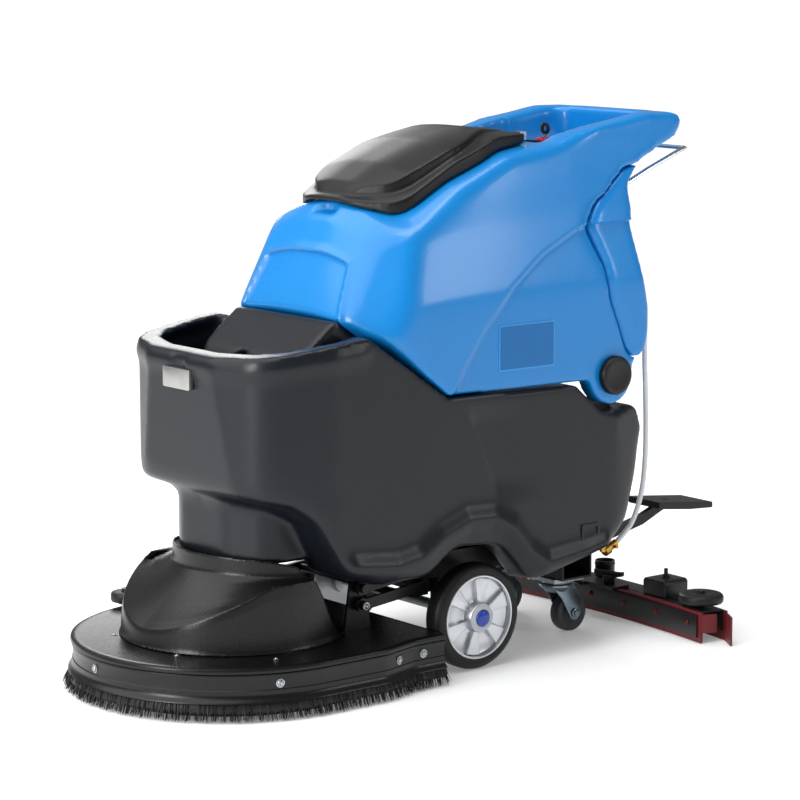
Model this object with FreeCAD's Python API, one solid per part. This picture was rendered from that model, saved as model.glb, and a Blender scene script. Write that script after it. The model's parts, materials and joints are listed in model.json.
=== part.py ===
import FreeCAD, Part
import math
import os

from FreeCAD import Vector

# Walk-behind floor scrubber-dryer. +Z is up, the brush deck faces -Y and the operator stands at +Y.
# Everything is drawn about the wheel axle (y = 0) and written out moved by AXLE_Y, so that the origin
# lies on the floor under the middle of the whole machine.

# Driving dimensions (mm)
AXLE_Y = 37.7                    # axle, behind the middle of the machine
WHEEL_RADIUS = 100
WHEEL_OUTER_X = 226
TYRE_WIDTH = 46
BODY_HALF_WIDTH = 238
WALL = 6                         # wall of the two rotomoulded tanks
DECK_Y = -403                    # brush axis
DECK_RADIUS = 290
DECK_TOP_Z = 95
TAIL_HALF_WIDTH = 268
TAIL_END_Y = -120
TILT_Y = 323                     # hinge of the tilting recovery tank
TILT_Z = 525
LOBE_RADIUS = 56
SCALLOP_RADIUS = 72
LINK_X = 152                     # middle of the deck link bars
LINK_BACK = (-75, 158)
LINK_FRONT = (-220, 142)
LINK_RISE = 32                   # upper bars above the lower ones
CASTER_X = 95
CASTER_Y = 305
CASTER_TRAIL = 32
CASTER_RADIUS = 38
SQUEEGEE_Y = 518
SQUEEGEE_HALF = 340
SQUEEGEE_SAG = 26
PEDAL_PIVOT = (322, 180)
BAIL_PIVOT = (404, 876)
BUMPER = (-296, -438)             # bumper roller at the edge of the deck
ROLLER_X, ROLLER_Y = 296, 503     # end rollers of the squeegee
KNOB_X, KNOB_Y = 61, 477
ROLLER_RADIUS = 44
SQUEEGEE_TOP = 62
MOTOR_Y = -395                   # brush motor, set back a little from the brush axis
KEY_X = 58
SWITCH_XS = (-70, -30)
DASH_Y = 300                     # row of the key and the two switches

AXES = {
    "x": (lambda a, b, c: Vector(c, a, b), Vector(1, 0, 0)),
    "y": (lambda a, b, c: Vector(a, c, b), Vector(0, 1, 0)),
    "z": (lambda a, b, c: Vector(a, b, c), Vector(0, 0, 1)),
}


def outline(points, axis, level):
    """Closed wire through (a, b) or (a, b, corner radius) points in the plane square to an axis."""
    place = AXES[axis][0]
    flat = [Vector(p[0], p[1], 0) for p in points]
    radii = [p[2] if len(p) > 2 else 0 for p in points]
    starts, ends, middles = [], [], []
    for i, corner in enumerate(flat):
        back = (flat[i - 1] - corner).normalize()
        ahead = (flat[(i + 1) % len(flat)] - corner).normalize()
        half = back.getAngle(ahead) / 2
        if radii[i] == 0:
            starts.append(corner)
            ends.append(corner)
            middles.append(None)
            continue
        reach = radii[i] / math.tan(half)
        centre = corner + (back + ahead).normalize() * (radii[i] / math.sin(half))
        starts.append(corner + back * reach)
        ends.append(corner + ahead * reach)
        middles.append(centre + (corner - centre).normalize() * radii[i])
    edges = []
    for i in range(len(flat)):
        if middles[i] is not None:
            arc = [place(p.x, p.y, level) for p in (starts[i], middles[i], ends[i])]
            edges.append(Part.Arc(*arc).toShape())
        following = starts[(i + 1) % len(flat)]
        if (following - ends[i]).Length > 0.01:
            run = [place(p.x, p.y, level) for p in (ends[i], following)]
            edges.append(Part.LineSegment(*run).toShape())
    return Part.Wire(edges)


def prism(points, axis, low, high):
    """Straight prism of an outline between two levels along an axis."""
    return Part.Face(outline(points, axis, low)).extrude(AXES[axis][1] * (high - low))


def leaning(points, low, high, lean):
    """Prism of a plan outline that moves back by lean for each millimetre of height."""
    return Part.Face(outline(points, "z", low)).extrude(Vector(0, lean, 1) * (high - low))


def box(x, y, z):
    return Part.makeBox(x[1] - x[0], y[1] - y[0], z[1] - z[0], Vector(x[0], y[0], z[0]))


def rod(radius, start, end):
    start, end = Vector(*start), Vector(*end)
    return Part.makeCylinder(radius, (end - start).Length, start, end - start)


def ring(outer, inner, start, end):
    return rod(outer, start, end).cut(rod(inner, start, end))


def joined(shapes):
    """One solid out of touching or overlapping shapes."""
    return shapes[0].fuse(shapes[1:]).removeSplitter() if len(shapes) > 1 else shapes[0]


def mirrored(shape):
    return shape.mirror(Vector(0, 0, 0), Vector(1, 0, 0))


def both_sides(shape):
    return Part.makeCompound([shape, mirrored(shape)])


def symmetric(points):
    """Outline given for +a only, mirrored about a = 0."""
    return list(points) + [(-p[0],) + tuple(p[1:]) for p in reversed(points)]


def save(name, shape):
    """Write one named node, moved so that the origin lies under the machine's middle."""
    moved = shape.copy()
    moved.translate(Vector(0, AXLE_Y, 0))
    if not moved.isValid():
        print("not valid:", name)
    moved.exportStep("parts/" + name + ".step")


def plan_bar(middle_y, thickness, half_width, low, high):
    """Bar curved in plan like the squeegee, its ends further forward than its middle."""
    sag = SQUEEGEE_SAG * (half_width / SQUEEGEE_HALF) ** 2

    def arc(offset):
        ends_y = middle_y - sag + offset
        left, right = Vector(-half_width, ends_y, low), Vector(half_width, ends_y, low)
        return left, Vector(0, middle_y + offset, low), right

    front, back = arc(-thickness / 2), arc(thickness / 2)
    edges = [
        Part.Arc(*front).toShape(),
        Part.LineSegment(front[2], back[2]).toShape(),
        Part.Arc(*back).toShape(),
        Part.LineSegment(back[0], front[0]).toShape(),
    ]
    return Part.Face(Part.Wire(edges)).extrude(Vector(0, 0, high - low))


def bar_y(x):
    """Middle line of the squeegee in plan."""
    radius = (SQUEEGEE_HALF ** 2 + SQUEEGEE_SAG ** 2) / (2 * SQUEEGEE_SAG)
    return SQUEEGEE_Y - radius + math.sqrt(radius ** 2 - x ** 2)


# ---------------------------------------------------------------- solution tank (lower moulding)

BASIN_FLOOR_Z = 520
HUMP_TOP_Z = 668
NECK_BOTTOM_Z = 240


def scallop(radius):
    """Cylinder about the tilt hinge, right across the machine."""
    return rod(radius, (-300, TILT_Y, TILT_Z), (300, TILT_Y, TILT_Z))


def tank_side(inset):
    """Flank of the lower moulding seen from the side, with the wheel arch in its lower edge."""
    i = inset
    return [
        (-513 + i, 640 - i, 14), (-262, 652 - i, 20), (-84, 521 - i, 12), (226, 515 - i, 16),
        (300, 452 - i, 40), (369, 464 - i, 10), (394 - i, 456, 18), (416 - i, 404, 30),
        (402 - i, 320, 60), (372 - i, 232, 40), (322, 196 + i, 30), (150 + i, 152 + i, 24),
        (112 + i, 152 + i, 4), (100 + i, 172 + i, 30), (45, 232 + i, 45), (-62, 240 + i, 45),
        (-124, 194 + i, 20), (-238, 191 + i, 30), (-312, 213 + i, 30), (-374, 318 + i, 40),
        (-420, 352 + i, 30), (-494 + i, 366 + i, 18),
    ]


def tank_plan(inset):
    w = BODY_HALF_WIDTH - inset
    return symmetric([(90, -514 + inset, 60), (208 - inset, -470 + inset, 90), (w, -345, 60),
                      (w, 330, 40), (w - 20, 420, 8)])


def hump(inset):
    """Front wall of the battery bay, standing up in the fill basin under the recovery tank."""
    i = inset
    side = [(-424 + i, 500), (-358 + i, 606 - i, 40), (-278 + i, HUMP_TOP_Z - i), (-190, HUMP_TOP_Z - i), (-190, 500)]
    plan = symmetric([(70, -424 + i, 120), (152 - i, -356, 60), (152 - i, -190)])
    return prism(side, "x", -200, 200).common(prism(plan, "z", 480, 700))


def tank_block(inset):
    """Outer bulk of the lower moulding, or its inside when inset by the wall."""
    i = inset
    bulk = prism(tank_side(i), "x", -BODY_HALF_WIDTH, BODY_HALF_WIDTH)
    bulk = bulk.common(prism(tank_plan(i), "z", 100, 700))
    neck_plan = symmetric([(70, -466 + i, 60), (140 - i, -424, 50), (148 - i, -280)])
    neck = prism(neck_plan, "z", NECK_BOTTOM_Z + i, 420)
    return joined([bulk, neck, hump(i)])


def tank_voids(grow):
    """Everything that the lower moulding is shaped round, or those spaces grown by its wall."""
    g = grow
    under_links = box((-168 - g, 168 + g), (-296, -112 + g), (100, 264 + g))
    under_chassis = box((-168 - g, 168 + g), (-113, 450), (100, 214 + g))
    motor_pocket = box((-118 - g, 118 + g), (-452 - g, -290), (200, 334 + g))
    battery_bay = box((-182 - g, 182 + g), (-76 - g, 262 + g), (264 - g, 600))
    basin_plan = symmetric([(80, -470 - g, 50), (176 + g, -436, 70), (204 + g, -330, 40), (204 + g, -284 + g, 20),
                            (168 + g, -262 + g, 6), (168 + g, -240 + g)])
    basin = prism(basin_plan, "z", BASIN_FLOOR_Z - g, 720)
    basin = basin.cut(hump(g))
    over = [(-276 - g, 673 - g), (-84, 522 - g), (-84, 800), (-276 - g, 800)]
    seat = prism(over, "x", -400, 400)
    spaces = under_links.fuse([under_chassis, motor_pocket, battery_bay, basin, seat, scallop(SCALLOP_RADIUS + g)])
    return spaces


def solution_tank():
    outer = tank_block(0).cut(tank_voids(0))
    water = tank_block(WALL).cut(tank_voids(WALL))
    # arched filler mouth in the front of the hump
    filler = rod(32, (-20, -440, BASIN_FLOOR_Z + 50), (-20, -350, BASIN_FLOOR_Z + 50))
    filler = filler.fuse(box((-52, 12), (-440, -350), (BASIN_FLOOR_Z + 10, BASIN_FLOOR_Z + 50)))
    return outer.cut(water).cut(filler)


def batteries():
    case = box((4, 176), (-70, 256), (264.3, 470))
    post = rod(9, (50, -30, 470), (50, -30, 486)).fuse(rod(9, (130, -30, 470), (130, -30, 486)))
    return both_sides(joined([case, post]))


# ---------------------------------------------------------------- chassis

def chassis_plate():
    return box((-146, 146), (-108, 352), (206, 213.5))


def chassis_frame():
    """Two rails under the plate and the box tube across the back that the casters bolt to."""
    rail = box((108, 140), (-108, 352), (166, 206))
    tube = box((-150, 150), (272, 348), (116, 166))
    tube = tube.cut(box((-151, 151), (276, 344), (120, 162)))
    return Part.makeCompound([rail, mirrored(rail), tube])


def chassis_brackets():
    """Plates and pins for the deck link bars, axle blocks and the pedal's clevis."""
    back_y, back_z = LINK_BACK
    plate = box((128, 140), (back_y - 21, back_y + 21), (136, 166))
    low = joined([plate, rod(6, (140, back_y, back_z), (163, back_y, back_z))])
    high = rod(6, (140, back_y, back_z + LINK_RISE), (163, back_y, back_z + LINK_RISE))
    block = box((112, 136), (-26, 26), (78, 166))
    block = block.cut(rod(10.1, (100, 0, WHEEL_RADIUS), (150, 0, WHEEL_RADIUS)))
    y, z = PEDAL_PIVOT
    inner = box((140, 144.5), (y - 16, y + 16), (z - 13, 206))
    outer = box((159.5, 165.5), (y - 16, y + 16), (z - 13, 206))
    web = box((140, 165.5), (y - 16, y + 16), (200, 206))
    clevis = joined([inner, outer, web, rod(6, (140, y, z), (165.5, y, z))])
    return Part.makeCompound([low, mirrored(low), high, mirrored(high), block, mirrored(block), clevis])


def wheel_axle():
    return rod(10, (-WHEEL_OUTER_X - 2, 0, WHEEL_RADIUS), (WHEEL_OUTER_X + 2, 0, WHEEL_RADIUS))


def caster_plates():
    """Fixed top plates, raceways and king pins of the two casters."""
    plate = box((-38, 38), (-38, 38), (108, 116))
    pin = rod(6, (0, 0, 88), (0, 0, 108))
    head = rod(9, (0, 0, 84), (0, 0, 88))
    fixed = joined([plate, pin, head])
    fixed.translate(Vector(CASTER_X, CASTER_Y, 0))
    return both_sides(fixed)


def caster_fork():
    crown = rod(30, (0, 0, 92), (0, 0, 106)).cut(rod(6.05, (0, 0, 80), (0, 0, 108)))
    crown = crown.cut(rod(10, (0, 0, 80), (0, 0, 88.3)))
    legs = []
    for side in (-1, 1):
        leg = prism([(-22, 98, 4), (26, 98, 6), (44, 40, 12), (34, 26, 10), (20, 32, 8), (4, 74, 14)],
                    "x", side * 19 - 1.5, side * 19 + 1.5)
        legs.append(leg)
    y, z = CASTER_TRAIL, CASTER_RADIUS
    bolt = [rod(5, (-21, y, z), (21, y, z)), rod(8, (20.5, y, z), (26, y, z)), rod(8, (-26, y, z), (-20.5, y, z))]
    return joined([crown] + legs + bolt)


def caster_wheel():
    y, z = CASTER_TRAIL, CASTER_RADIUS
    wheel = rod(CASTER_RADIUS, (-14, y, z), (14, y, z))
    wheel = wheel.makeFillet(6, [e for e in wheel.Edges if e.Length > 150 and len(e.Vertexes) == 1])
    return wheel.cut(rod(5.05, (-20, y, z), (20, y, z)))


def at_caster(shape, side):
    moved = shape.copy()
    moved.translate(Vector(side * CASTER_X, CASTER_Y, 0))
    return moved


def electronics_box():
    return box((-104, 104), (-40, 60), (130, 165.5)).fuse(box((-30, 30), (60, 76), (138, 156)))


def solution_valve():
    body = rod(22, (-60, -78, 170), (-60, -78, 205.5))
    return joined([body, rod(8, (-60, -110, 180), (-60, -78, 180)), rod(8, (-60, -78, 180), (-60, -42, 180))])


def tilt_brackets():
    """Steel ears on the lower tank with the pins that the recovery tank tips about."""
    ear = prism([(TILT_Y - 30, 440), (TILT_Y + 30, 440), (TILT_Y + 18, TILT_Z + 18, 14),
                 (TILT_Y - 18, TILT_Z + 18, 14)], "x", 186, 194)
    pin = rod(8, (186, TILT_Y, TILT_Z), (230, TILT_Y, TILT_Z))
    foot = ear.common(scallop(SCALLOP_RADIUS))
    return both_sides(joined([foot, pin]))


# level tube up the back of the machine: a straight-run route rounded by tangent arcs
TUBE_ROUTE = [(200, 366, 190), (204, 402, 224), (206, 425, 280), (206, 434, 345), (206, 435, 410),
              (206, 433, 475), (206, 430, 535), (206, 429, 592)]


def level_tube():
    points = [Vector(*p) for p in TUBE_ROUTE]
    edges = []
    start = points[0]
    for back, corner, ahead in zip(points, points[1:], points[2:]):
        turn = (corner - back).getAngle(ahead - corner)
        shorter = min((corner - back).Length, (ahead - corner).Length)
        reach = 0.45 * shorter
        radius = reach / math.tan(turn / 2)
        print("level tube arc radius", round(radius))
        inn = corner + (back - corner).normalize() * reach
        out = corner + (ahead - corner).normalize() * reach
        lift = radius / math.cos(turn / 2) - radius
        middle = corner + ((inn + out) * 0.5 - corner).normalize() * lift
        edges.append(Part.LineSegment(start, inn).toShape())
        edges.append(Part.Arc(inn, middle, out).toShape())
        start = out
    edges.append(Part.LineSegment(start, points[-1]).toShape())
    path = Part.Wire(edges)
    section = Part.Wire(Part.Circle(points[0], points[1] - points[0], 5).toShape())
    tube = path.makePipeShell([section], True, False)
    print("level tube volume ratio", round(tube.Volume / (math.pi * 25 * path.Length), 4))
    return tube


def drain_fitting():
    """Brass elbow and stop valve in the lower rear corner of the tank."""
    start, end = Vector(200, 334, 176), Vector(*TUBE_ROUTE[0])
    along = end - start
    hexagon = rod(11, start, start + along * 0.35)
    barrel = rod(8, start, start + along * 0.93)
    lever = rod(3, start + along * 0.6, start + along * 0.6 + Vector(18, 0, 0))
    nipple = rod(7, (200, 332, 176), (200, 332, 198))
    return joined([hexagon, barrel, lever, nipple])


# ---------------------------------------------------------------- wheels

def tyre():
    inner_x = WHEEL_OUTER_X - TYRE_WIDTH
    body = rod(WHEEL_RADIUS, (inner_x, 0, WHEEL_RADIUS), (WHEEL_OUTER_X, 0, WHEEL_RADIUS))
    body = body.makeFillet(8, [e for e in body.Edges if len(e.Vertexes) == 1])
    return body.cut(rod(79, (inner_x - 1, 0, WHEEL_RADIUS), (WHEEL_OUTER_X + 1, 0, WHEEL_RADIUS)))


def hub():
    inner_x = WHEEL_OUTER_X - TYRE_WIDTH
    z = WHEEL_RADIUS
    rim = ring(79, 72, (inner_x, 0, z), (WHEEL_OUTER_X, 0, z))
    web = rod(73, (inner_x + 14, 0, z), (WHEEL_OUTER_X - 10, 0, z))
    boss = rod(27, (inner_x, 0, z), (WHEEL_OUTER_X + 6, 0, z))
    wheel = joined([rim, web, boss])
    for i in range(6):
        angle = math.radians(60 * i)
        cut = prism([(24, -6), (68, -22, 8), (68, 22, 8), (24, 6)], "x", WHEEL_OUTER_X - 18, WHEEL_OUTER_X)
        cut = cut.cut(rod(27, (150, 0, 0), (260, 0, 0)))
        cut.rotate(Vector(0, 0, 0), Vector(1, 0, 0), math.degrees(angle))
        cut.translate(Vector(0, 0, z))
        wheel = wheel.cut(cut)
    return wheel.cut(rod(10.05, (150, 0, z), (WHEEL_OUTER_X + 2.5, 0, z)))


# ---------------------------------------------------------------- brush deck


def deck_prism(grow, low, high, tail_y=TAIL_END_Y):
    """Prism of the deck's plan grown sideways: round front, flanks that wave in at the tail."""
    r = DECK_RADIUS + grow
    end = TAIL_HALF_WIDTH + grow
    disc = rod(r, (0, DECK_Y, low), (0, DECK_Y, high))
    flanks = prism(symmetric([(r, DECK_Y), (r, -270, 60), (end, -190, 60), (end, tail_y)]), "z", low, high)
    return joined([disc, flanks])


def deck_plate():
    plate = deck_prism(0, 87, DECK_TOP_Z)
    return plate.cut(rod(30, (0, DECK_Y, 80), (0, DECK_Y, 100)))


def open_rear(wall, grow):
    """Deck wall without its back, where it would cross between the wheels."""
    half = TAIL_HALF_WIDTH + grow
    return wall.cut(box((-half, half), (TAIL_END_Y - 60, TAIL_END_Y + 60), (0, 100)))


def deck_band():
    wall = deck_prism(0, 33, 87).cut(deck_prism(-6, 30, 90, TAIL_END_Y + 40))
    return open_rear(wall, -6)


def bristle_skirt():
    wall = deck_prism(16, 1, 33).cut(deck_prism(-4, 0, 40, TAIL_END_Y + 40))
    return open_rear(wall, -4)


def hood_shell(grow):
    """Dome that rises from the deck to the collar round the tank's neck."""
    sections = [((0, -400, 95), 205), ((0, -398, 125), 204), ((0, -372, 185), 200), ((0, -306, 228), 187)]
    wires = [Part.Wire(Part.Circle(Vector(*c), Vector(0, 0, 1), r - grow).toShape()) for c, r in sections]
    dome = Part.makeLoft(wires, True)
    collar = rod(187 - grow, (0, -306, 226), (0, -306, 275))
    return joined([dome, collar])


def deck_hood():
    shell = hood_shell(0).cut(hood_shell(5))
    side = [(-640, 95), (-640, 270), (-492, 256), (-372, 224, 24), (-345, 165, 20), (-296, 106, 12),
            (-262, 98), (-262, 95)]
    return shell.common(prism(side, "x", -260, 260))


def deck_bolts():
    """Pan heads along the band and screws into the top of the deck."""
    heads = []
    for degrees in (-165.5, -92, -18.5):
        a = math.radians(degrees)
        direction = Vector(math.cos(a), math.sin(a), 0)
        start = Vector(0, DECK_Y, 69) + direction * (DECK_RADIUS + 0.1)
        heads.append(rod(6, start, start + direction * 4))
    for side in (-1, 1):
        for place, direction in (((280.2, -234), (0.964, 0.265)), ((268.1, -169), (1, 0))):
            start = Vector(side * place[0], place[1], 69)
            heads.append(rod(6, start, start + Vector(side * direction[0], direction[1], 0) * 4))
    for x, y in ((100, -593), (-100, -593), (228, -470), (-228, -470)):
        heads.append(rod(4, (x, y, DECK_TOP_Z), (x, y, DECK_TOP_Z + 2.5)))
    return Part.makeCompound(heads)


def link_bar(rise, end_radius):
    """Pair of flat bars between the chassis and the deck, with an eye at each end."""
    back = (LINK_BACK[0], LINK_BACK[1] + rise)
    front = (LINK_FRONT[0], LINK_FRONT[1] + rise)
    x0, x1 = LINK_X - 4, LINK_X + 4
    bar = prism([(back[0], back[1] - 10), (back[0], back[1] + 10), (front[0], front[1] + 10),
                 (front[0], front[1] - 10)], "x", x0, x1)
    eyes = [rod(13, (x0, p[0], p[1]), (x1, p[0], p[1])) for p in (back, front)]
    bar = joined([bar] + eyes)
    bar = bar.cut(rod(6.05, (x0 - 1, back[0], back[1]), (x1 + 1, back[0], back[1])))
    return bar.cut(rod(end_radius, (x0 - 1, front[0], front[1]), (x1 + 1, front[0], front[1])))


def link_cross_tube():
    """Tube that ties the two lower bars together behind the deck."""
    y, z = LINK_BACK[0] - 62, LINK_BACK[1] - 7
    return rod(7, (-LINK_X + 4, y, z), (LINK_X - 4, y, z))


def deck_brackets():
    """Uprights with the pins that the link bars hold, and the post of the bumper roller."""
    y, z = LINK_FRONT
    plate = prism([(y - 30, DECK_TOP_Z), (y + 30, DECK_TOP_Z), (y + 16, z + LINK_RISE + 14, 10),
                   (y - 16, z + LINK_RISE + 14, 10)], "x", 134, 140)
    foot = box((116, 140), (y - 30, y + 30), (DECK_TOP_Z, DECK_TOP_Z + 5))
    pins = [rod(6, (140, y, z + rise), (160, y, z + rise)) for rise in (0, LINK_RISE)]
    heads = [rod(9, (160, y, z + rise), (166, y, z + rise)) for rise in (0, LINK_RISE)]
    ear = joined([plate, foot] + pins + heads)
    x, y = BUMPER
    arm = box((x - 8, x + 56), (y - 14, y + 14), (DECK_TOP_Z, DECK_TOP_Z + 3))
    pin = rod(5, (x, y, DECK_TOP_Z + 3), (x, y, DECK_TOP_Z + 26))
    head = rod(9, (x, y, DECK_TOP_Z + 26), (x, y, DECK_TOP_Z + 30))
    return Part.makeCompound([ear, mirrored(ear), joined([arm, pin, head])])


def brush_motor():
    can = rod(46, (0, MOTOR_Y, DECK_TOP_Z), (0, MOTOR_Y, 214))
    cap = rod(36, (0, MOTOR_Y, 214), (0, MOTOR_Y, 228))
    terminals = box((30, 84), (MOTOR_Y - 24, MOTOR_Y + 24), (130, 190))
    motor = joined([can, cap, terminals])
    gearbox = joined([rod(29.5, (0, DECK_Y, 74), (0, DECK_Y, DECK_TOP_Z)), rod(12, (0, DECK_Y, 58), (0, DECK_Y, 74))])
    return Part.makeCompound([motor, gearbox])


def brush_block():
    """Round brush head with the drive boss on top of it."""
    boss = rod(60, (0, DECK_Y, 52), (0, DECK_Y, 68)).cut(rod(12.05, (0, DECK_Y, 50), (0, DECK_Y, 70)))
    head = rod(255, (0, DECK_Y, 34), (0, DECK_Y, 52)).cut(rod(30, (0, DECK_Y, 30), (0, DECK_Y, 53)))
    return joined([boss, head])


def brush_bristles():
    return ring(258, 90, (0, DECK_Y, 1.5), (0, DECK_Y, 34))


def bumper_roller(radius, x, y, low, height):
    wheel = rod(radius, (x, y, low), (x, y, low + height))
    wheel = wheel.makeFillet(4, [e for e in wheel.Edges if len(e.Vertexes) == 1])
    return wheel.cut(rod(5.05, (x, y, low - 1), (x, y, low + height + 1)))


# ---------------------------------------------------------------- recovery tank (upper moulding)

FRONT_Y, FRONT_Z, FRONT_LEAN = -273, 672, 0.44

SEAM = [(560, 940), (388, 911, 20), (300, 850, 30), (272, 810, 20), (307, 734), (318, 667), (350, 590),
        (365, 556), (560, 556)]


def tank_profile(inset):
    i = inset
    return [
        (-272 + i, 674 + i, 4), (-224 + i, 790, 60), (-200 + i, 838, 40),
        (-172 + i, 866 - i, 18), (-129, 870 - i, 40), (-20, 922 - i, 80), (108, 961 - i, 60),
        (230, 966 - i, 10), (262, 978 - i, 20), (335, 992 - i, 40), (461, 1013 - i, 40),
        (548 - i, 1012 - i, 14), (556 - i, 990, 12), (540 - i, 966 + i, 10), (437, 924 + i, 60),
        (392 - i, 880, 24), (389 - i, 800, 40), (405 - i, 720, 60), (421 - i, 646, 30),
        (421 - i, 600, 16), (404 - i, 566, 10), (381, 543), (355, 517 + i), (226, 519.5 + i),
        (-82, 524.5 + i, 8),
    ]


def shoulders(inset):
    """Front view: full width below, narrowing to the two arms of the handle."""
    i = inset
    return symmetric([(BODY_HALF_WIDTH - i, 400), (BODY_HALF_WIDTH - i, 700, 120), (214 - i, 830, 90),
                      (190 - i, 910, 60), (178 - i, 960, 40), (172 - i, 1040)])


def front_plan(inset):
    """Plan of the tank at the height where its front begins."""
    i = inset
    return symmetric([(158 - i / 2, FRONT_Y + i, 50), (BODY_HALF_WIDTH - i, FRONT_Y + 76, 70), (BODY_HALF_WIDTH - i, 900)])


def upper_block(inset):
    block = prism(tank_profile(inset), "x", -300, 300)
    block = block.common(prism(shoulders(inset), "y", -700, 700))
    plan = leaning(front_plan(inset), 0, 700, FRONT_LEAN)
    plan.translate(Vector(0, FRONT_LEAN * (400 - FRONT_Z), 400))
    return block.common(plan)


def handle_opening(grow):
    """Hand space between the arms and the sloping dashboard ahead of it, or both grown by a wall."""
    g = grow
    hole = prism(symmetric([(122 + g, 348 - g, 30), (122 + g, 498 + g, 34)]), "z", 700, 1100)
    hole = hole.common(prism([(300, 1100), (300, 980), (348, 940 - g), (400 - g, 866 - g), (600, 866 - g), (600, 1100)],
                             "x", -200, 200))
    dash = prism([(196 - g, 1100), (196 - g, 968 - g), (240, 962 - g), (340, 946 - g), (360, 946 - g), (360, 1100)],
                 "x", -124 - g, 124 + g)
    return hole.fuse(dash)


def lobes():
    lobe = rod(LOBE_RADIUS, (200, TILT_Y, TILT_Z), (BODY_HALF_WIDTH, TILT_Y, TILT_Z))
    return both_sides(lobe)


def bracket_slots():
    """Room beside the lobes for the fixed ears that carry the tilt pins."""
    return both_sides(rod(SCALLOP_RADIUS + 4, (182, TILT_Y, TILT_Z), (199, TILT_Y, TILT_Z)))


def machine_room():
    """Dry space behind the water bulkhead, running on into the hollow arms and handle."""
    room = upper_block(WALL).common(box((-300, 300), (236, 600), (600, 1100)))
    room = room.fuse(upper_block(WALL).common(box((-176, 176), (236, 600), (560, 610))))
    return room.cut(handle_opening(WALL))


def recovery_tank():
    outer = upper_block(0).fuse(lobes()).cut(handle_opening(0))
    outer = outer.cut(prism(SEAM, "x", -300, 300).cut(scallop(LOBE_RADIUS + 2)))
    water = upper_block(WALL).common(box((-300, 300), (-380, 226), (500, 1000))).cut(handle_opening(WALL))
    mouth = prism(symmetric([(50, -130, 40), (108, -90, 40), (108, 170, 30)]), "z", 780, 1000)
    shell = outer.cut(water).cut(mouth).cut(machine_room())
    # finger recess under the front of the lid
    shell = shell.cut(rod(34, (0, -196, 846), (0, -196, 900)))
    shell = shell.cut(bracket_slots()).cut(both_sides(rod(8.05, (180, TILT_Y, TILT_Z), (250, TILT_Y, TILT_Z))))
    # holes in the dashboard for the key switch and the rockers
    shell = shell.cut(rod(9.6, (KEY_X, DASH_Y, 900), (KEY_X, DASH_Y, 980)))
    for x in SWITCH_XS:
        shell = shell.cut(box((x - 11, x + 11), (DASH_Y - 18, DASH_Y + 18), (920, 980)))
    return shell


def rear_cover():
    seam = [(p[0] + 0.8,) + tuple(p[1:]) for p in SEAM]
    cover = upper_block(0).common(prism(seam, "x", -300, 300))
    cover = cover.cut(scallop(LOBE_RADIUS + 3)).cut(handle_opening(0))
    cover = cover.cut(machine_room()).cut(bracket_slots())
    seat = ring(32, 20, (0, 412, 640), (0, 427, 640))
    spigot = ring(24, 20, (0, 427, 640), (0, 457, 640))
    tube_end = rod(9, (206, 417, 602), (206, 438, 602))
    return joined([cover, seat, spigot, tube_end])


def pivot_caps():
    cap = rod(37, (BODY_HALF_WIDTH, TILT_Y, TILT_Z), (BODY_HALF_WIDTH + 9, TILT_Y, TILT_Z))
    cap = cap.makeFillet(4, [e for e in cap.Edges if e.BoundBox.XMin > BODY_HALF_WIDTH + 8])
    return both_sides(cap)


def vacuum_motor():
    can = rod(62, (0, 300, 640), (0, 300, 760))
    return joined([can, rod(46, (0, 300, 760), (0, 300, 800)), rod(16, (40, 300, 610), (40, 300, 640))])


def float_cage():
    """Basket of the float shut-off, hung from the bulkhead beside the suction intake."""
    tube = ring(20, 17, (0, 196, 700), (0, 196, 800))
    return joined([tube, rod(26, (0, 196, 800), (0, 196, 806)), box((-6, 6), (196, 226), (800, 806))])


def control_panel():
    plate = prism([(246, 961.4), (338, 947), (338.6, 951), (246.6, 965.4)], "x", -112, 112)
    plate = plate.cut(rod(9.6, (KEY_X, DASH_Y, 930), (KEY_X, DASH_Y, 980)))
    for x in SWITCH_XS:
        plate = plate.cut(box((x - 11, x + 11), (DASH_Y - 18, DASH_Y + 18), (930, 980)))
    return plate


def key_switch():
    barrel = rod(9, (KEY_X, DASH_Y, 925), (KEY_X, DASH_Y, 962))
    collar = rod(18, (KEY_X, DASH_Y, 960), (KEY_X, DASH_Y, 965))
    return joined([barrel, collar]).cut(rod(3.05, (KEY_X, DASH_Y, 945), (KEY_X, DASH_Y, 970)))


def key():
    blade = rod(3, (KEY_X, DASH_Y, 948), (KEY_X, DASH_Y, 970))
    head = box((KEY_X - 10, KEY_X + 10), (DASH_Y - 3, DASH_Y + 3), (968, 992))
    return joined([blade, head])


def rocker(x):
    side = [(-15, 955, 2), (0, 951, 4), (15, 950, 2), (13, 961, 2), (0, 958, 14), (-13, 966, 2)]
    body = prism([(DASH_Y + p[0],) + p[1:] for p in side], "x", x - 9.5, x + 9.5)
    return body.cut(rod(1.5, (x - 10, DASH_Y, 956), (x + 10, DASH_Y, 956)))


# ---------------------------------------------------------------- lid

HINGE_Y, HINGE_Z = 206, 977

def lid_plan(inset):
    i = inset
    return symmetric([(66, -182 + i, 70), (152 - i, -126, 70), (152 - i, 60, 200), (127 - i, 192 - i, 12)])


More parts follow.
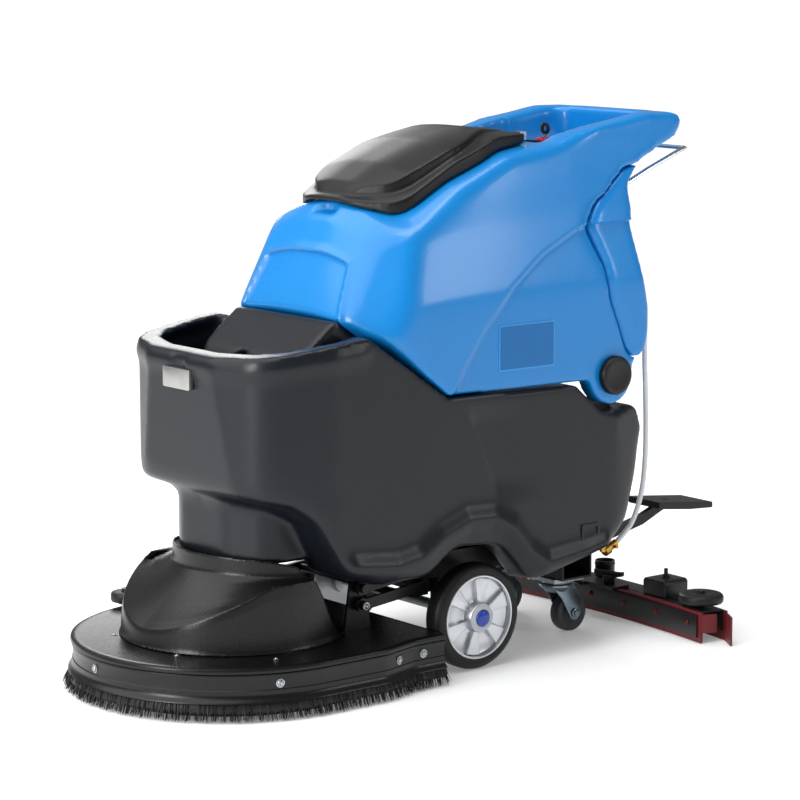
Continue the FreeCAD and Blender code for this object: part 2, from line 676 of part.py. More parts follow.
def lid():
    low = [(-182, 868, 3), (-129, 872, 40), (-20, 924, 80), (108, 963, 60), (192, 967)]
    high = [(192, 987, 3), (108, 996, 80), (0, 974, 120), (-92, 938, 80), (-158, 900, 30), (-182, 879, 4)]
    cover = prism(low + high, "x", -200, 200).common(prism(lid_plan(0), "z", 700, 1100))
    under = [(p[0],) + (p[1] - 5,) + tuple(p[2:]) for p in high]
    dish = prism(low[:1] + [(-150, 858), (192, 955)] + under, "x", -200, 200)
    cover = cover.cut(dish.common(prism(lid_plan(6), "z", 700, 1100)))
    eyes = []
    for x in (-68, 68):
        eye = rod(7, (x - 12, HINGE_Y, HINGE_Z), (x + 12, HINGE_Y, HINGE_Z))
        eyes.append(eye.fuse(box((x - 12, x + 12), (184, HINGE_Y), (HINGE_Z - 5, HINGE_Z + 4))))
    return joined([cover] + eyes).cut(rod(4.05, (-90, HINGE_Y, HINGE_Z), (90, HINGE_Y, HINGE_Z)))


def lid_hinge():
    """Knuckles on the tank and the pin across the back of the lid."""
    knuckle = box((82, 102), (198, 214), (968.2, 984))
    knuckle = knuckle.cut(rod(4, (0, HINGE_Y, HINGE_Z), (200, HINGE_Y, HINGE_Z)))
    pin = rod(4, (-106, HINGE_Y, HINGE_Z), (106, HINGE_Y, HINGE_Z))
    return Part.makeCompound([knuckle, mirrored(knuckle), pin])


# ---------------------------------------------------------------- bail

def bail():
    """Bent round rod: two legs from the pivots and a cross bar behind the handle."""
    y0, z0 = BAIL_PIVOT
    points = [(166, y0, z0), (166, 470, 904), (166, 548, 934), (166, 566, 940)]
    leg = [rod(5, a, b) for a, b in zip(points, points[1:])]
    balls = [Part.makeSphere(5, Vector(*p)) for p in points[1:]]
    side = joined(leg + balls)
    cross = rod(5, (-166, 566, 940), (166, 566, 940))
    stub = rod(5, (150, y0, z0), (166, y0, z0)).fuse(Part.makeSphere(5, Vector(166, y0, z0)))
    side = joined([side, stub])
    return joined([side, mirrored(side), cross])


def bail_blocks():
    y, z = BAIL_PIVOT
    block = box((134, 158), (397.8, y + 9), (z - 9, z + 9))
    return both_sides(block.cut(rod(5.05, (130, y, z), (170, y, z))))


# ---------------------------------------------------------------- pedal

def pedal_arm():
    y, z = PEDAL_PIVOT
    hub_eye = rod(12, (145, y, z), (159, y, z))
    arm = prism([(y, z - 9), (y, z + 9), (470, 222), (540, 248), (552, 236), (476, 204)], "x", 146, 158)
    arm = joined([hub_eye, arm])
    return arm.cut(rod(6.05, (140, y, z), (170, y, z)))


def pedal_pad():
    return prism([(488, 252, 3), (633, 236, 3), (634, 224, 3), (570, 228), (488, 238, 3)], "x", 104, 192)


# ---------------------------------------------------------------- squeegee

LIFT_Y, LIFT_Z = 385, 98


def swing_pin():
    return joined([rod(8, (0, 330, 92), (0, 330, 116)), rod(13, (0, 330, 88), (0, 330, 92))])


def swing_arm():
    """Arm that lets the squeegee trail to either side, with the lift pin in its fork."""
    eye = rod(20, (0, 330, 96), (0, 330, 112)).cut(rod(8.05, (0, 330, 90), (0, 330, 120)))
    plate = box((-18, 18), (344, 370), (98, 108))
    fork = box((-30, 30), (368, 394), (86, 110)).cut(box((-20, 20), (372, 400), (80, 120)))
    return joined([eye, plate, fork, rod(5, (-30, LIFT_Y, LIFT_Z), (30, LIFT_Y, LIFT_Z))])


def lift_arm():
    """Yoke over the squeegee, with two studs for the wing knobs."""
    top = SQUEEGEE_TOP
    eye = rod(11, (-18, LIFT_Y, LIFT_Z), (18, LIFT_Y, LIFT_Z))
    bar = prism([(LIFT_Y, LIFT_Z - 6), (LIFT_Y, LIFT_Z + 6), (446, top + 6), (500, top + 6), (500, top), (440, top)],
                "x", -18, 18)
    yoke = box((-95, 95), (455, 500), (top, top + 6))
    studs = [rod(4, (x, KNOB_Y, top), (x, KNOB_Y, top + 19)) for x in (-KNOB_X, KNOB_X)]
    arm = joined([eye, bar, yoke] + studs)
    return arm.cut(rod(5.05, (-40, LIFT_Y, LIFT_Z), (40, LIFT_Y, LIFT_Z)))


def squeegee_body():
    """Pressed channel, open below, with the suction spigot in its top."""
    outer = plan_bar(SQUEEGEE_Y, 50, SQUEEGEE_HALF, 20, SQUEEGEE_TOP)
    inner = plan_bar(SQUEEGEE_Y, 42, SQUEEGEE_HALF - 5, 10, SQUEEGEE_TOP - 4)
    spigot = rod(20, (0, SQUEEGEE_Y + 4, SQUEEGEE_TOP - 1), (0, SQUEEGEE_Y + 4, SQUEEGEE_TOP + 38))
    bore = rod(17, (0, SQUEEGEE_Y + 4, 40), (0, SQUEEGEE_Y + 4, SQUEEGEE_TOP + 50))
    return joined([outer.cut(inner), spigot]).cut(bore)


def front_blade():
    return plan_bar(SQUEEGEE_Y - 27.6, 4.6, SQUEEGEE_HALF + 4, 0.6, SQUEEGEE_TOP - 2)


def rear_blade():
    """Longer blade whose ends wrap forward."""
    blade = plan_bar(SQUEEGEE_Y + 28, 5, SQUEEGEE_HALF + 12, 0.6, SQUEEGEE_TOP - 3)
    y = bar_y(SQUEEGEE_HALF + 12) + 28
    wing = prism([(350, y - 2.5), (350, y + 2.5), (390, y - 22), (390, y - 27)], "z", 0.6, SQUEEGEE_TOP - 6)
    return joined([blade, wing, mirrored(wing)])


def clamp_straps():
    front = plan_bar(SQUEEGEE_Y - 31.7, 3, SQUEEGEE_HALF - 6, 20, SQUEEGEE_TOP - 10)
    back = plan_bar(SQUEEGEE_Y + 32.5, 3, SQUEEGEE_HALF - 6, 20, SQUEEGEE_TOP - 14)
    return Part.makeCompound([front, back])


def clamp_bolts():
    heads = []
    for i in range(7):
        x = -300 + 100 * i
        y = bar_y(x)
        heads.append(rod(5.5, (x, y - 38, 34), (x, y - 34.3, 34)))
        heads.append(rod(5.5, (x, y + 35.1, 34), (x, y + 38.8, 34)))
    return Part.makeCompound(heads)


def squeegee_brackets():
    """Folded steel saddles on the channel, each with a stud and the axle of an end roller."""
    top = SQUEEGEE_TOP
    cover = box((150, 214), (486, 548), (top, top + 34)).cut(box((154, 210), (480, 560), (top - 2, top + 30)))
    stud = rod(4, (182, 518, top + 34), (182, 518, top + 52))
    bar = box((214, 306), (495, 511), (top, top + 4))
    pin = rod(5, (ROLLER_X, ROLLER_Y, top + 4), (ROLLER_X, ROLLER_Y, top + 30))
    head = rod(8, (ROLLER_X, ROLLER_Y, top + 27.5), (ROLLER_X, ROLLER_Y, top + 30))
    return both_sides(joined([cover, stud, bar, pin, head]))


def wing_knob(side):
    """Plastic wing knob that clamps the squeegee to the yoke."""
    top = SQUEEGEE_TOP
    knob = joined([rod(12, (0, 0, top + 6.5), (0, 0, top + 22)), box((-32, 32), (-6, 6), (top + 16, top + 24))])
    knob = knob.cut(rod(4.05, (0, 0, top), (0, 0, top + 20)))
    knob.rotate(Vector(0, 0, 0), Vector(0, 0, 1), side * 20)
    knob.translate(Vector(side * KNOB_X, KNOB_Y, 0))
    return knob


# ---------------------------------------------------------------- write the nodes

def main():
    os.makedirs("parts", exist_ok=True)
    save("solution_tank", solution_tank())
    save("batteries", batteries())
    save("chassis_plate", chassis_plate())
    save("chassis_frame", chassis_frame())
    save("chassis_brackets", chassis_brackets())
    save("wheel_axle", wheel_axle())
    save("caster_plates", caster_plates())
    save("electronics_box", electronics_box())
    save("solution_valve", solution_valve())
    save("tilt_brackets", tilt_brackets())
    save("level_tube", level_tube())
    save("drain_fitting", drain_fitting())
    save("swing_pin", swing_pin())
    for side, name in ((1, "left"), (-1, "right")):
        save("tyre_" + name, tyre() if side > 0 else mirrored(tyre()))
        save("hub_" + name, hub() if side > 0 else mirrored(hub()))
        save("caster_fork_" + name, at_caster(caster_fork(), side))
        save("caster_wheel_" + name, at_caster(caster_wheel(), side))
        save("wing_knob_" + name, wing_knob(side))
        save("squeegee_roller_" + name,
             bumper_roller(ROLLER_RADIUS, side * ROLLER_X, ROLLER_Y, SQUEEGEE_TOP + 6, 20))
    save("deck_plate", deck_plate())
    save("deck_band", deck_band())
    save("bristle_skirt", bristle_skirt())
    save("deck_hood", deck_hood())
    save("deck_bolts", deck_bolts())
    save("deck_brackets", deck_brackets())
    save("brush_motor", brush_motor())
    save("bumper_roller", bumper_roller(30, BUMPER[0], BUMPER[1], DECK_TOP_Z + 4.5, 20))
    save("lower_links", joined([link_bar(0, 6.05), mirrored(link_bar(0, 6.05)), link_cross_tube()]))
    save("upper_links", both_sides(link_bar(LINK_RISE, 7.5)))
    save("brush_block", brush_block())
    save("brush_bristles", brush_bristles())
    save("recovery_tank", recovery_tank())
    save("rear_cover", rear_cover())
    save("pivot_caps", pivot_caps())
    save("vacuum_motor", vacuum_motor())
    save("float_cage", float_cage())
    save("control_panel", control_panel())
    save("key_switch", key_switch())
    save("key", key())
    save("brush_switch", rocker(SWITCH_XS[0]))
    save("vacuum_switch", rocker(SWITCH_XS[1]))
    save("lid", lid())
    save("lid_hinge", lid_hinge())
    save("bail", bail())
    save("bail_blocks", bail_blocks())
    save("pedal", joined([pedal_arm(), pedal_pad()]))
    save("swing_arm", swing_arm())
    save("lift_arm", lift_arm())
    save("squeegee_body", squeegee_body())
    save("front_blade", front_blade())
    save("rear_blade", rear_blade())
    save("clamp_straps", clamp_straps())
    save("clamp_bolts", clamp_bolts())
    save("squeegee_brackets", squeegee_brackets())


main()
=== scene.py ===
# Walk-behind floor scrubber-dryer: two rotomoulded tanks on a steel chassis, a round brush deck in
# front and a trailing squeegee behind. Sizes are in millimetres from the wheel axle, as in its drawings.
import json
import math
import random
import bmesh
import bpy
from mathutils import Matrix, Vector, kdtree, noise


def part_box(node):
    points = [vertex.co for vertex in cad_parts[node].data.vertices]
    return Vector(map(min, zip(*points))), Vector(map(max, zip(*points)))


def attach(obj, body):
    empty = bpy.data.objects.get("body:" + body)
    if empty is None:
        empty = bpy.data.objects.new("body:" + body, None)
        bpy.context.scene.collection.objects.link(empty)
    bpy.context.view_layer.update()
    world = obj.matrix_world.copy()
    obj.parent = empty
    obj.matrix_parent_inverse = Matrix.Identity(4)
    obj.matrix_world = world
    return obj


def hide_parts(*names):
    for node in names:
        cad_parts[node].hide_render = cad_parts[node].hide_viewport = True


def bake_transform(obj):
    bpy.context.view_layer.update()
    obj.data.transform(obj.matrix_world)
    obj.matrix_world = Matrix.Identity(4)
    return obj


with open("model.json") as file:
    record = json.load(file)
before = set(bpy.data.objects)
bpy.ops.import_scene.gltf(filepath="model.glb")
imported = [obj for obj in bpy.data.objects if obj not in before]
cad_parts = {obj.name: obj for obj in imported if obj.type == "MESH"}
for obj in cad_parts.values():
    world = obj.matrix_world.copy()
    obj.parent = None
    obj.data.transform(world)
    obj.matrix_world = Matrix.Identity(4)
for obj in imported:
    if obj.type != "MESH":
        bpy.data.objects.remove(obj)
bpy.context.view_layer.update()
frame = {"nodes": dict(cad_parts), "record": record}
axle_low, axle_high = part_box("wheel_axle")
AXLE_Y = (axle_low.y + axle_high.y) * 500  # the drawings' y is counted from the axle
TILT_PIN = (323, 525)  # y and z of the pins on which the upper tank tips


# ---- Studio: pale floor that runs on into the light, with big soft boxes round it.
# The machine stands on it; the camera sees its brush deck and left flank from a little above.

def mm(x, y, z):
    """A point of the drawings as metres in the frame."""
    return Vector((x / 1000, (y + AXLE_Y) / 1000, z / 1000))


def colour(code):
    """sRGB hex as the linear colour that a shader takes."""
    parts = [int(code[i:i + 2], 16) / 255 for i in (1, 3, 5)]
    return tuple(c / 12.92 if c <= 0.04045 else ((c + 0.055) / 1.055) ** 2.4 for c in parts) + (1.0,)


def add(tree, kind, inputs=None, **settings):
    """One shader node with its settings, its values and the sockets linked to it."""
    made = tree.nodes.new("ShaderNode" + kind)
    for name, value in settings.items():
        setattr(made, name, value)
    for name, value in (inputs or {}).items():
        if isinstance(value, bpy.types.NodeSocket):
            tree.links.new(value, made.inputs[name])
        else:
            made.inputs[name].default_value = value
    return made


def new_finish(name, **values):
    """An empty material with its surface shader and the object's own coordinates."""
    material = bpy.data.materials.new(name)
    material.use_nodes = True
    tree = material.node_tree
    tree.nodes.clear()
    shader = add(tree, "BsdfPrincipled", {k.replace("_", " "): v for k, v in values.items()})
    add(tree, "OutputMaterial", {"Surface": shader.outputs["BSDF"]})
    return material, tree, shader, add(tree, "TexCoord").outputs["Object"]


def soft_light(name, place, target, width, height, watts):
    bpy.ops.object.light_add(type="AREA", location=place)
    lamp = bpy.context.object
    lamp.name = name
    lamp.data.shape = "RECTANGLE"
    lamp.data.size, lamp.data.size_y = width, height
    lamp.data.energy = watts
    lamp.rotation_euler = (Vector(target) - Vector(place)).to_track_quat("-Z", "Y").to_euler()


bpy.ops.object.select_all(action="DESELECT")
bpy.ops.mesh.primitive_plane_add(size=120, location=(0, 0, -0.0005))
floor = bpy.context.object
floor.name = "studio_floor"
floor_paint, tree, shader, place = new_finish("matt floor paint", Roughness=0.55, Emission_Color=(1, 1, 1, 1),
                                                Emission_Strength=0.2)
# sweep paper: nearly white, with a very faint unevenness so that it doesn't read as a void
mottle = add(tree, "TexNoise", {"Vector": place, "Scale": 3.0, "Detail": 3.0})
tint = add(tree, "MixRGB", {"Fac": mottle.outputs["Fac"], "Color1": colour("#f4f4f4"),
                            "Color2": colour("#fafafa")})
tree.links.new(tint.outputs["Color"], shader.inputs["Base Color"])
floor.data.materials.append(floor_paint)

soft_light("key_box", (0.4, -3.4, 1.3), (0, -0.3, 0.45), 0.8, 1.5, 60)
soft_light("side_box", (3.6, 2.6, 1.9), (0, 0.1, 0.6), 0.6, 1.4, 22)
soft_light("top_box", (0.3, 0.2, 3.0), (0, 0, 0.4), 1.5, 0.7, 13)
soft_light("rim_box", (-3.0, 1.4, 1.9), (0, 0.2, 0.6), 1.0, 1.6, 24)
bpy.ops.object.light_add(type="SUN", location=(0, 0, 4), rotation=(math.radians(30), 0, math.radians(-25)))
ceiling = bpy.context.object
ceiling.name = "broad_ceiling"
ceiling.data.energy = 2.9
ceiling.data.angle = math.radians(80)

# the surround is white to look at but lights the machine less, so that black parts stay black
sky = bpy.data.worlds.new("white_surround")
bpy.context.scene.world = sky
sky.use_nodes = True
backdrop = sky.node_tree.nodes["Background"]
backdrop.inputs["Color"].default_value = (1, 1, 1, 1)
ray = add(sky.node_tree, "LightPath")
level = add(sky.node_tree, "MapRange", {"Value": ray.outputs["Is Camera Ray"], "To Min": 0.24, "To Max": 1.0})
sky.node_tree.links.new(level.outputs["Result"], backdrop.inputs["Strength"])
bpy.context.scene.view_settings.view_transform = "Standard"

bpy.ops.object.camera_add(location=(4.2292, -3.3472, 1.3522))
camera = bpy.context.object
camera.rotation_euler = (math.radians(90 - 9.148), 0, math.radians(51.405))
camera.data.lens = 130.343
camera.data.sensor_width = 36
bpy.context.scene.camera = camera


# ---- Solution tank: the charcoal lower moulding, rotomoulded polyethylene about 6 mm thick, which is
# also the body of the machine. Its front is an open bowl for filling, on a neck above the brush deck;
# the flanks flare out round the wheels. Blended edges and orange peel come from the moulding.

def rounded(points):
    """Corner points (a, b, radius) as one closed line whose corners are arcs."""
    line = []
    for i, point in enumerate(points):
        corner = Vector(point[:2])
        radius = point[2] if len(point) > 2 else 0
        back = (Vector(points[i - 1][:2]) - corner).normalized()
        ahead = (Vector(points[(i + 1) % len(points)][:2]) - corner).normalized()
        half = back.angle(ahead) / 2
        if radius == 0 or half > 1.56:
            line.append(corner)
            continue
        reach = radius / math.tan(half)
        centre = corner + (back + ahead).normalized() * (radius / math.sin(half))
        start, end = corner + back * reach - centre, corner + ahead * reach - centre
        turn = start.angle_signed(end)
        steps = max(2, round(math.degrees(abs(turn)) / 9))
        for k in range(steps + 1):
            line.append(centre + Matrix.Rotation(-turn * k / steps, 2) @ start)
    return line


def both(points):
    """An outline given for the left half only, closed with its mirror image."""
    return list(points) + [(-p[0],) + tuple(p[1:]) for p in reversed(points)]


def slab(name, points, axis, low, high, lean=0.0):
    """A circle shaped to an outline, filled and extruded square to an axis."""
    line = rounded(points)
    order = {"x": (1, 2, 0), "y": (0, 2, 1), "z": (0, 1, 2)}[axis]
    bpy.ops.object.select_all(action="DESELECT")
    bpy.ops.mesh.primitive_circle_add(vertices=len(line), radius=0.1, fill_type="NGON")
    piece = bpy.context.object
    piece.name = name
    for vertex, point in zip(piece.data.vertices, line):
        place = [0, 0, 0]
        place[order[0]], place[order[1]], place[order[2]] = point.x, point.y, low
        vertex.co = mm(*place)
    rise = [0, 0, 0]
    rise[order[2]] = (high - low) / 1000
    rise[1] += lean * (high - low) / 1000
    bpy.ops.object.mode_set(mode="EDIT")
    bpy.ops.mesh.select_all(action="SELECT")
    bpy.ops.mesh.extrude_region_move(TRANSFORM_OT_translate={"value": rise})
    bpy.ops.mesh.select_all(action="SELECT")
    bpy.ops.mesh.normals_make_consistent(inside=False)
    bpy.ops.object.mode_set(mode="OBJECT")
    return piece


def worked(piece, kind, **settings):
    """One modifier, applied."""
    bpy.context.view_layer.objects.active = piece
    modifier = piece.modifiers.new(kind.lower(), kind)
    for name, value in settings.items():
        setattr(modifier, name, value)
    bpy.ops.object.modifier_apply(modifier=modifier.name)
    return piece


def carved(piece, *tools, how="DIFFERENCE"):
    """The piece with tools cut from it, joined to it or kept in common, and the tools removed."""
    for tool in tools:
        worked(piece, "BOOLEAN", operation=how, object=tool, solver="EXACT")
        bpy.data.objects.remove(tool)
    return piece


def bar(name, radius, start, end, sides=48):
    """A round bar between two points."""
    start, end = mm(*start), mm(*end)
    bpy.ops.object.select_all(action="DESELECT")
    bpy.ops.mesh.primitive_cylinder_add(vertices=sides, radius=radius / 1000, depth=(end - start).length,
                                        location=(start + end) / 2,
                                        rotation=(end - start).to_track_quat("Z", "X").to_euler())
    piece = bpy.context.object
    piece.name = name
    bpy.ops.object.transform_apply(location=True, rotation=True, scale=True)
    return piece


def softened(piece, voxel, passes):
    """The moulding's blended edges: an even skin over the carved block, smoothed."""
    worked(piece, "REMESH", mode="VOXEL", voxel_size=voxel / 1000)
    worked(piece, "SMOOTH", factor=0.5, iterations=passes)
    return piece


def pushed(piece, move):
    """Every vertex moved by move(x, y, z), which takes and gives millimetres."""
    for vertex in piece.data.vertices:
        x, y, z = vertex.co.x * 1000, vertex.co.y * 1000 - AXLE_Y, vertex.co.z * 1000
        dx, dy, dz = move(x, y, z)
        vertex.co += Vector((dx, dy, dz)) / 1000
    return piece


def blended(piece, passes, where):
    """More smoothing where the moulding's edges are rounder: where(x, y, z) gives 0 to 1."""
    share = piece.vertex_groups.new(name="round")
    for vertex in piece.data.vertices:
        x, y, z = vertex.co.x * 1000, vertex.co.y * 1000 - AXLE_Y, vertex.co.z * 1000
        weight = where(x, y, z)
        if weight > 0.01:
            share.add([vertex.index], weight, "REPLACE")
    worked(piece, "SMOOTH", factor=0.5, iterations=passes, vertex_group="round")
    piece.vertex_groups.clear()
    return piece


def finished(piece, material, body, slot, *nodes):
    """Smooth shading, the material, the body it rides on and the nodes it stands for; slot is not used."""
    bpy.ops.object.select_all(action="DESELECT")
    piece.select_set(True)
    bpy.context.view_layer.objects.active = piece
    bpy.ops.object.shade_smooth_by_angle(angle=math.radians(38))
    piece.data.materials.clear()
    piece.data.materials.append(material)
    if nodes:
        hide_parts(*nodes)
    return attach(piece, body) if body else piece


def ease(t):
    """0 to 1 with soft ends."""
    t = min(1.0, max(0.0, t))
    return t * t * (3 - 2 * t)


def moulded(name, dark, light, rough, peel_mm, depth_mm, coat=0.0):
    """Moulded plastic: a colour that drifts a little, a peel or grain in the skin, uneven gloss."""
    material, tree, shader, place = new_finish(name, Roughness=rough, Coat_Weight=coat, Coat_Roughness=0.12,
                                               IOR=1.5, Specular_IOR_Level=0.34)
    drift = add(tree, "TexNoise", {"Vector": place, "Scale": 6.0, "Detail": 4.0, "Roughness": 0.6})
    shade = add(tree, "MixRGB", {"Fac": drift.outputs["Fac"], "Color1": colour(dark), "Color2": colour(light)})
    tree.links.new(shade.outputs["Color"], shader.inputs["Base Color"])
    peel = add(tree, "TexNoise", {"Vector": place, "Scale": 1000 / peel_mm, "Detail": 3.0, "Roughness": 0.55})
    dull = add(tree, "MapRange", {"Value": peel.outputs["Fac"], "From Min": 0.3, "From Max": 0.7,
                                  "To Min": rough - 0.05, "To Max": rough + 0.07})
    tree.links.new(dull.outputs["Result"], shader.inputs["Roughness"])
    skin = add(tree, "Bump", {"Height": peel.outputs["Fac"], "Strength": 0.5, "Distance": depth_mm / 1000})
    tree.links.new(skin.outputs["Normal"], shader.inputs["Normal"])
    return material


# rotomoulded polyethylene, charcoal: orange peel of about 3 mm, drawn as coarse as it needs to show
charcoal = moulded("rotomoulded charcoal polyethylene", "#0e1116", "#161a21", 0.32, 3.2, 0.22)

flank = [
    (-513, 618, 14), (-270, 648, 20), (-84, 521, 12), (226, 515, 16), (300, 452, 40), (369, 464, 10),
    (394, 456, 18), (416, 404, 30), (402, 320, 60), (372, 232, 40), (322, 196, 30), (150, 152, 24),
    (112, 152, 4), (100, 172, 30), (45, 232, 45), (-62, 240, 45), (-124, 194, 20), (-238, 191, 30),
    (-312, 213, 30), (-374, 318, 40), (-420, 352, 30), (-494, 366, 18),
]
tank = slab("solution_tank_shell", flank, "x", -238, 238)
plan = slab("plan", both([(90, -514, 60), (208, -470, 90), (238, -345, 60), (238, 330, 40), (218, 420, 8)]),
            "z", 100, 700)
carved(tank, plan, how="INTERSECT")
neck = slab("neck", both([(70, -466, 60), (140, -424, 50), (148, -280)]), "z", 240, 420)
carved(tank, neck, how="UNION")
basin = slab("basin", both([(80, -470, 50), (176, -436, 70), (204, -330, 40), (204, -284, 20), (168, -262, 6),
                            (168, -240)]), "z", 520, 720)
seat = slab("seat", [(-276, 673), (-84, 522), (-84, 800), (-276, 800)], "x", -400, 400)
links = slab("links", both([(168, -296), (168, -112)]), "z", 100, 264)
under = slab("under", both([(168, -113), (168, 450)]), "z", 100, 214)
pocket = slab("pocket", both([(112, -440), (112, -290)]), "z", 200, 334)
bay = slab("bay", both([(182, -76), (182, 262)]), "z", 264, 600)
scallop = bar("scallop", 72, (-300, *TILT_PIN), (300, *TILT_PIN), 96)
carved(tank, basin, seat, links, under, pocket, bay, scallop)
hump = slab("hump", [(-424, 500), (-358, 606, 40), (-278, 668), (-190, 668), (-190, 500)], "x", -200, 200)
hump_plan = slab("hump_plan", both([(70, -424, 120), (152, -356, 60), (152, -190)]), "z", 480, 700)
carved(hump, hump_plan, how="INTERSECT")
carved(hump, slab("diagonal", [(-276, 673), (-84, 522), (-84, 800), (-276, 800)], "x", -400, 400))
carved(tank, hump, how="UNION")
filler = carved(bar("filler", 32, (-20, -440, 570), (-20, -350, 570)),
                slab("filler_foot", [(-52, 530), (12, 530), (12, 570), (-52, 570)], "y", -440, -350),
                how="UNION")
carved(tank, filler)
softened(tank, 5.4, 9)
blended(tank, 80, lambda x, y, z: ease((420 - z) / 40) * ease((abs(x) + max(0, -300 - y) - 150) / 40)
        * max(ease((z - 322) / 25), ease((abs(x) - 176) / 20)))

ARCH = [(-300, 236), (-205, 226), (-150, 236), (-100, 268), (-40, 290), (20, 288), (62, 266), (104, 216),
        (150, 184), (250, 192), (300, 200)]


def from_line(line, y, z):
    """Distance of (y, z) from a line of points."""
    nearest = 1e9
    for (ay, az), (by, bz) in zip(line, line[1:]):
        long = (by - ay) ** 2 + (bz - az) ** 2
        t = min(1, max(0, ((y - ay) * (by - ay) + (z - az) * (bz - az)) / long))
        nearest = min(nearest, math.hypot(y - ay - t * (by - ay), z - az - t * (bz - az)))
    return nearest


def flank_form(x, y, z):
    """Flare round the wheel, the soft fall behind the rib, and the rim's rolled swelling."""
    side = 1 if x > 0 else -1
    flat = ease((abs(x) - 190) / 30)
    dx = 0.0
    if flat > 0 and z < 340:
        dx += 12 * math.exp(-(from_line(ARCH, y, z) / 20) ** 2)
    if flat > 0 and z < 520:
        behind = y - (-60 + (521 - z) * 0.42)
        dx -= 6 * ease(behind / 26) * ease((170 - behind) / 150) * ease((z - 300) / 60) * ease((505 - z) / 40)
    out = Vector((x, y + 330, 0)).normalized() if y < -330 else Vector((side, 0, 0))
    swell = 5 * math.exp(-((z - 596 - 0.1 * (y + 513)) / 16) ** 2)
    swell *= ease((-250 - y) / 40) * ease((abs(x) + max(0, -330 - y) - 190) / 20)
    return out.x * swell + side * dx * flat, out.y * swell, 0


pushed(tank, flank_form)
finished(tank, charcoal, "chassis", "charcoal_polyethylene", "solution_tank")


# ---- Recovery tank: the blue upper moulding for dirty water, rotomoulded in the same way and glossier.
# It tips up about two pins at the back; its top runs up into two arms with a hand bar across them.
# Behind the seam its back is a separate blue cover, screwed on over the vacuum motor and the wiring.

# the same polyethylene in blue: a broad soft gloss, finer peel than the lower tank's
blue = moulded("rotomoulded blue polyethylene", "#087cc8", "#0d84d0", 0.30, 4.0, 0.05, coat=0.3)

upper_side = [
    (-272, 674, 4), (-224, 790, 60), (-200, 838, 40), (-172, 866, 18), (-129, 870, 40),
    (-20, 922, 80), (108, 961, 60), (230, 966, 10), (262, 978, 20), (335, 992, 40), (461, 1013, 40),
    (548, 1012, 14), (556, 990, 12), (540, 966, 10), (437, 924, 60), (392, 880, 24), (389, 800, 40),
    (405, 720, 60), (421, 646, 30), (421, 600, 16), (404, 566, 10), (381, 543), (355, 517), (226, 519.5),
    (-82, 524.5, 8),
]
SEAM = [(560, 940), (388, 911, 20), (300, 850, 30), (272, 810, 20), (307, 734), (318, 667), (350, 590),
        (365, 556), (560, 556)]


def upper_mass(name):
    """The whole blue form before it is split into tank and cover."""
    mass = slab(name, upper_side, "x", -238, 238)
    front_view = slab("front_view", both([(238, 400), (238, 700, 120), (214, 830, 90), (190, 910, 60),
                                          (178, 960, 40), (172, 1040)]), "y", -700, 700)
    top_view = slab("top_view", both([(158, -273, 50), (238, -197, 70), (238, 900)]), "z", 400, 1100, lean=0.44)
    pushed(top_view, lambda x, y, z: (0, -0.44 * 272, 0))
    for tool in (front_view, top_view):
        carved(mass, tool, how="INTERSECT")
    hand_space = slab("hand_space", both([(122, 348, 30), (122, 498, 34)]), "z", 700, 1100)
    floor_of_space = slab("floor_of_space", [(300, 1100), (300, 980), (348, 940), (400, 866), (600, 866),
                                             (600, 1100)], "x", -200, 200)
    carved(hand_space, floor_of_space, how="INTERSECT")
    dash = slab("dash", [(196, 1100), (196, 968), (240, 962), (340, 946), (360, 946), (360, 1100)],
                "x", -124, 124)
    return carved(mass, hand_space, dash)


def lobe_pair(name, radius, near, far):
    pair = bar(name, radius, (near, *TILT_PIN), (far, *TILT_PIN), 96)
    return carved(pair, bar("other", radius, (-far, *TILT_PIN), (-near, *TILT_PIN), 96), how="UNION")


def crown(x, y, z):
    """The top falls away towards both flanks, most at the front; 600 and below stays put."""
    fall = 58 * ease((abs(x) - 20) / 230) ** 1.1 * min(1, max(0, (250 - y) / 450))
    top = 838 + 0.42 * (y + 200)
    return 0, 0, -fall * min(1, max(0, (z - 600) / (top - 600))) ** 1.5


upper = upper_mass("recovery_tank_shell")
carved(upper, lobe_pair("lobes", 56, 200, 238), how="UNION")
lobe_room = bar("lobe_room", 58, (-300, *TILT_PIN), (300, *TILT_PIN), 96)
behind = carved(slab("behind", SEAM, "x", -300, 300), lobe_room)
carved(upper, behind, lobe_pair("slots", 76, 182, 199))
finger = bar("finger", 34, (0, -196, 846), (0, -196, 900))
mouth = slab("mouth", both([(50, -130, 40), (108, -90, 40), (108, 170, 30)]), "z", 560, 1100)
carved(upper, finger, mouth)


def shoulder(x, y, z):
    """The long soft edges beside the lid and down the two front corners."""
    beside_lid = ease((abs(x) - 132) / 26) * ease((z - 560) / 60) * ease((330 - y) / 80)
    return beside_lid + 0.4 * ease((abs(x) - 90) / 30) * ease((y - 330) / 80)


softened(upper, 4.8, 5)
blended(upper, 100, shoulder)

FACET = [(276, 815), (236, 806), (150, 770), (70, 716), (0, 640), (-46, 575), (-78, 518)]


def in_facet(y, z):
    """How far (y, z) lies below and behind the flank's crease."""
    d = from_line(FACET, y, z)
    for (ay, az), (by, bz) in zip(FACET, FACET[1:]):
        if by <= y <= ay or bz <= z <= az:
            t = (y - ay) / (by - ay)
            if (z < az + t * (bz - az)) if by <= y <= ay else (y > ay + (z - az) / (bz - az) * (by - ay)):
                return d
    return d if y > 276 and z < 815 else 0.0


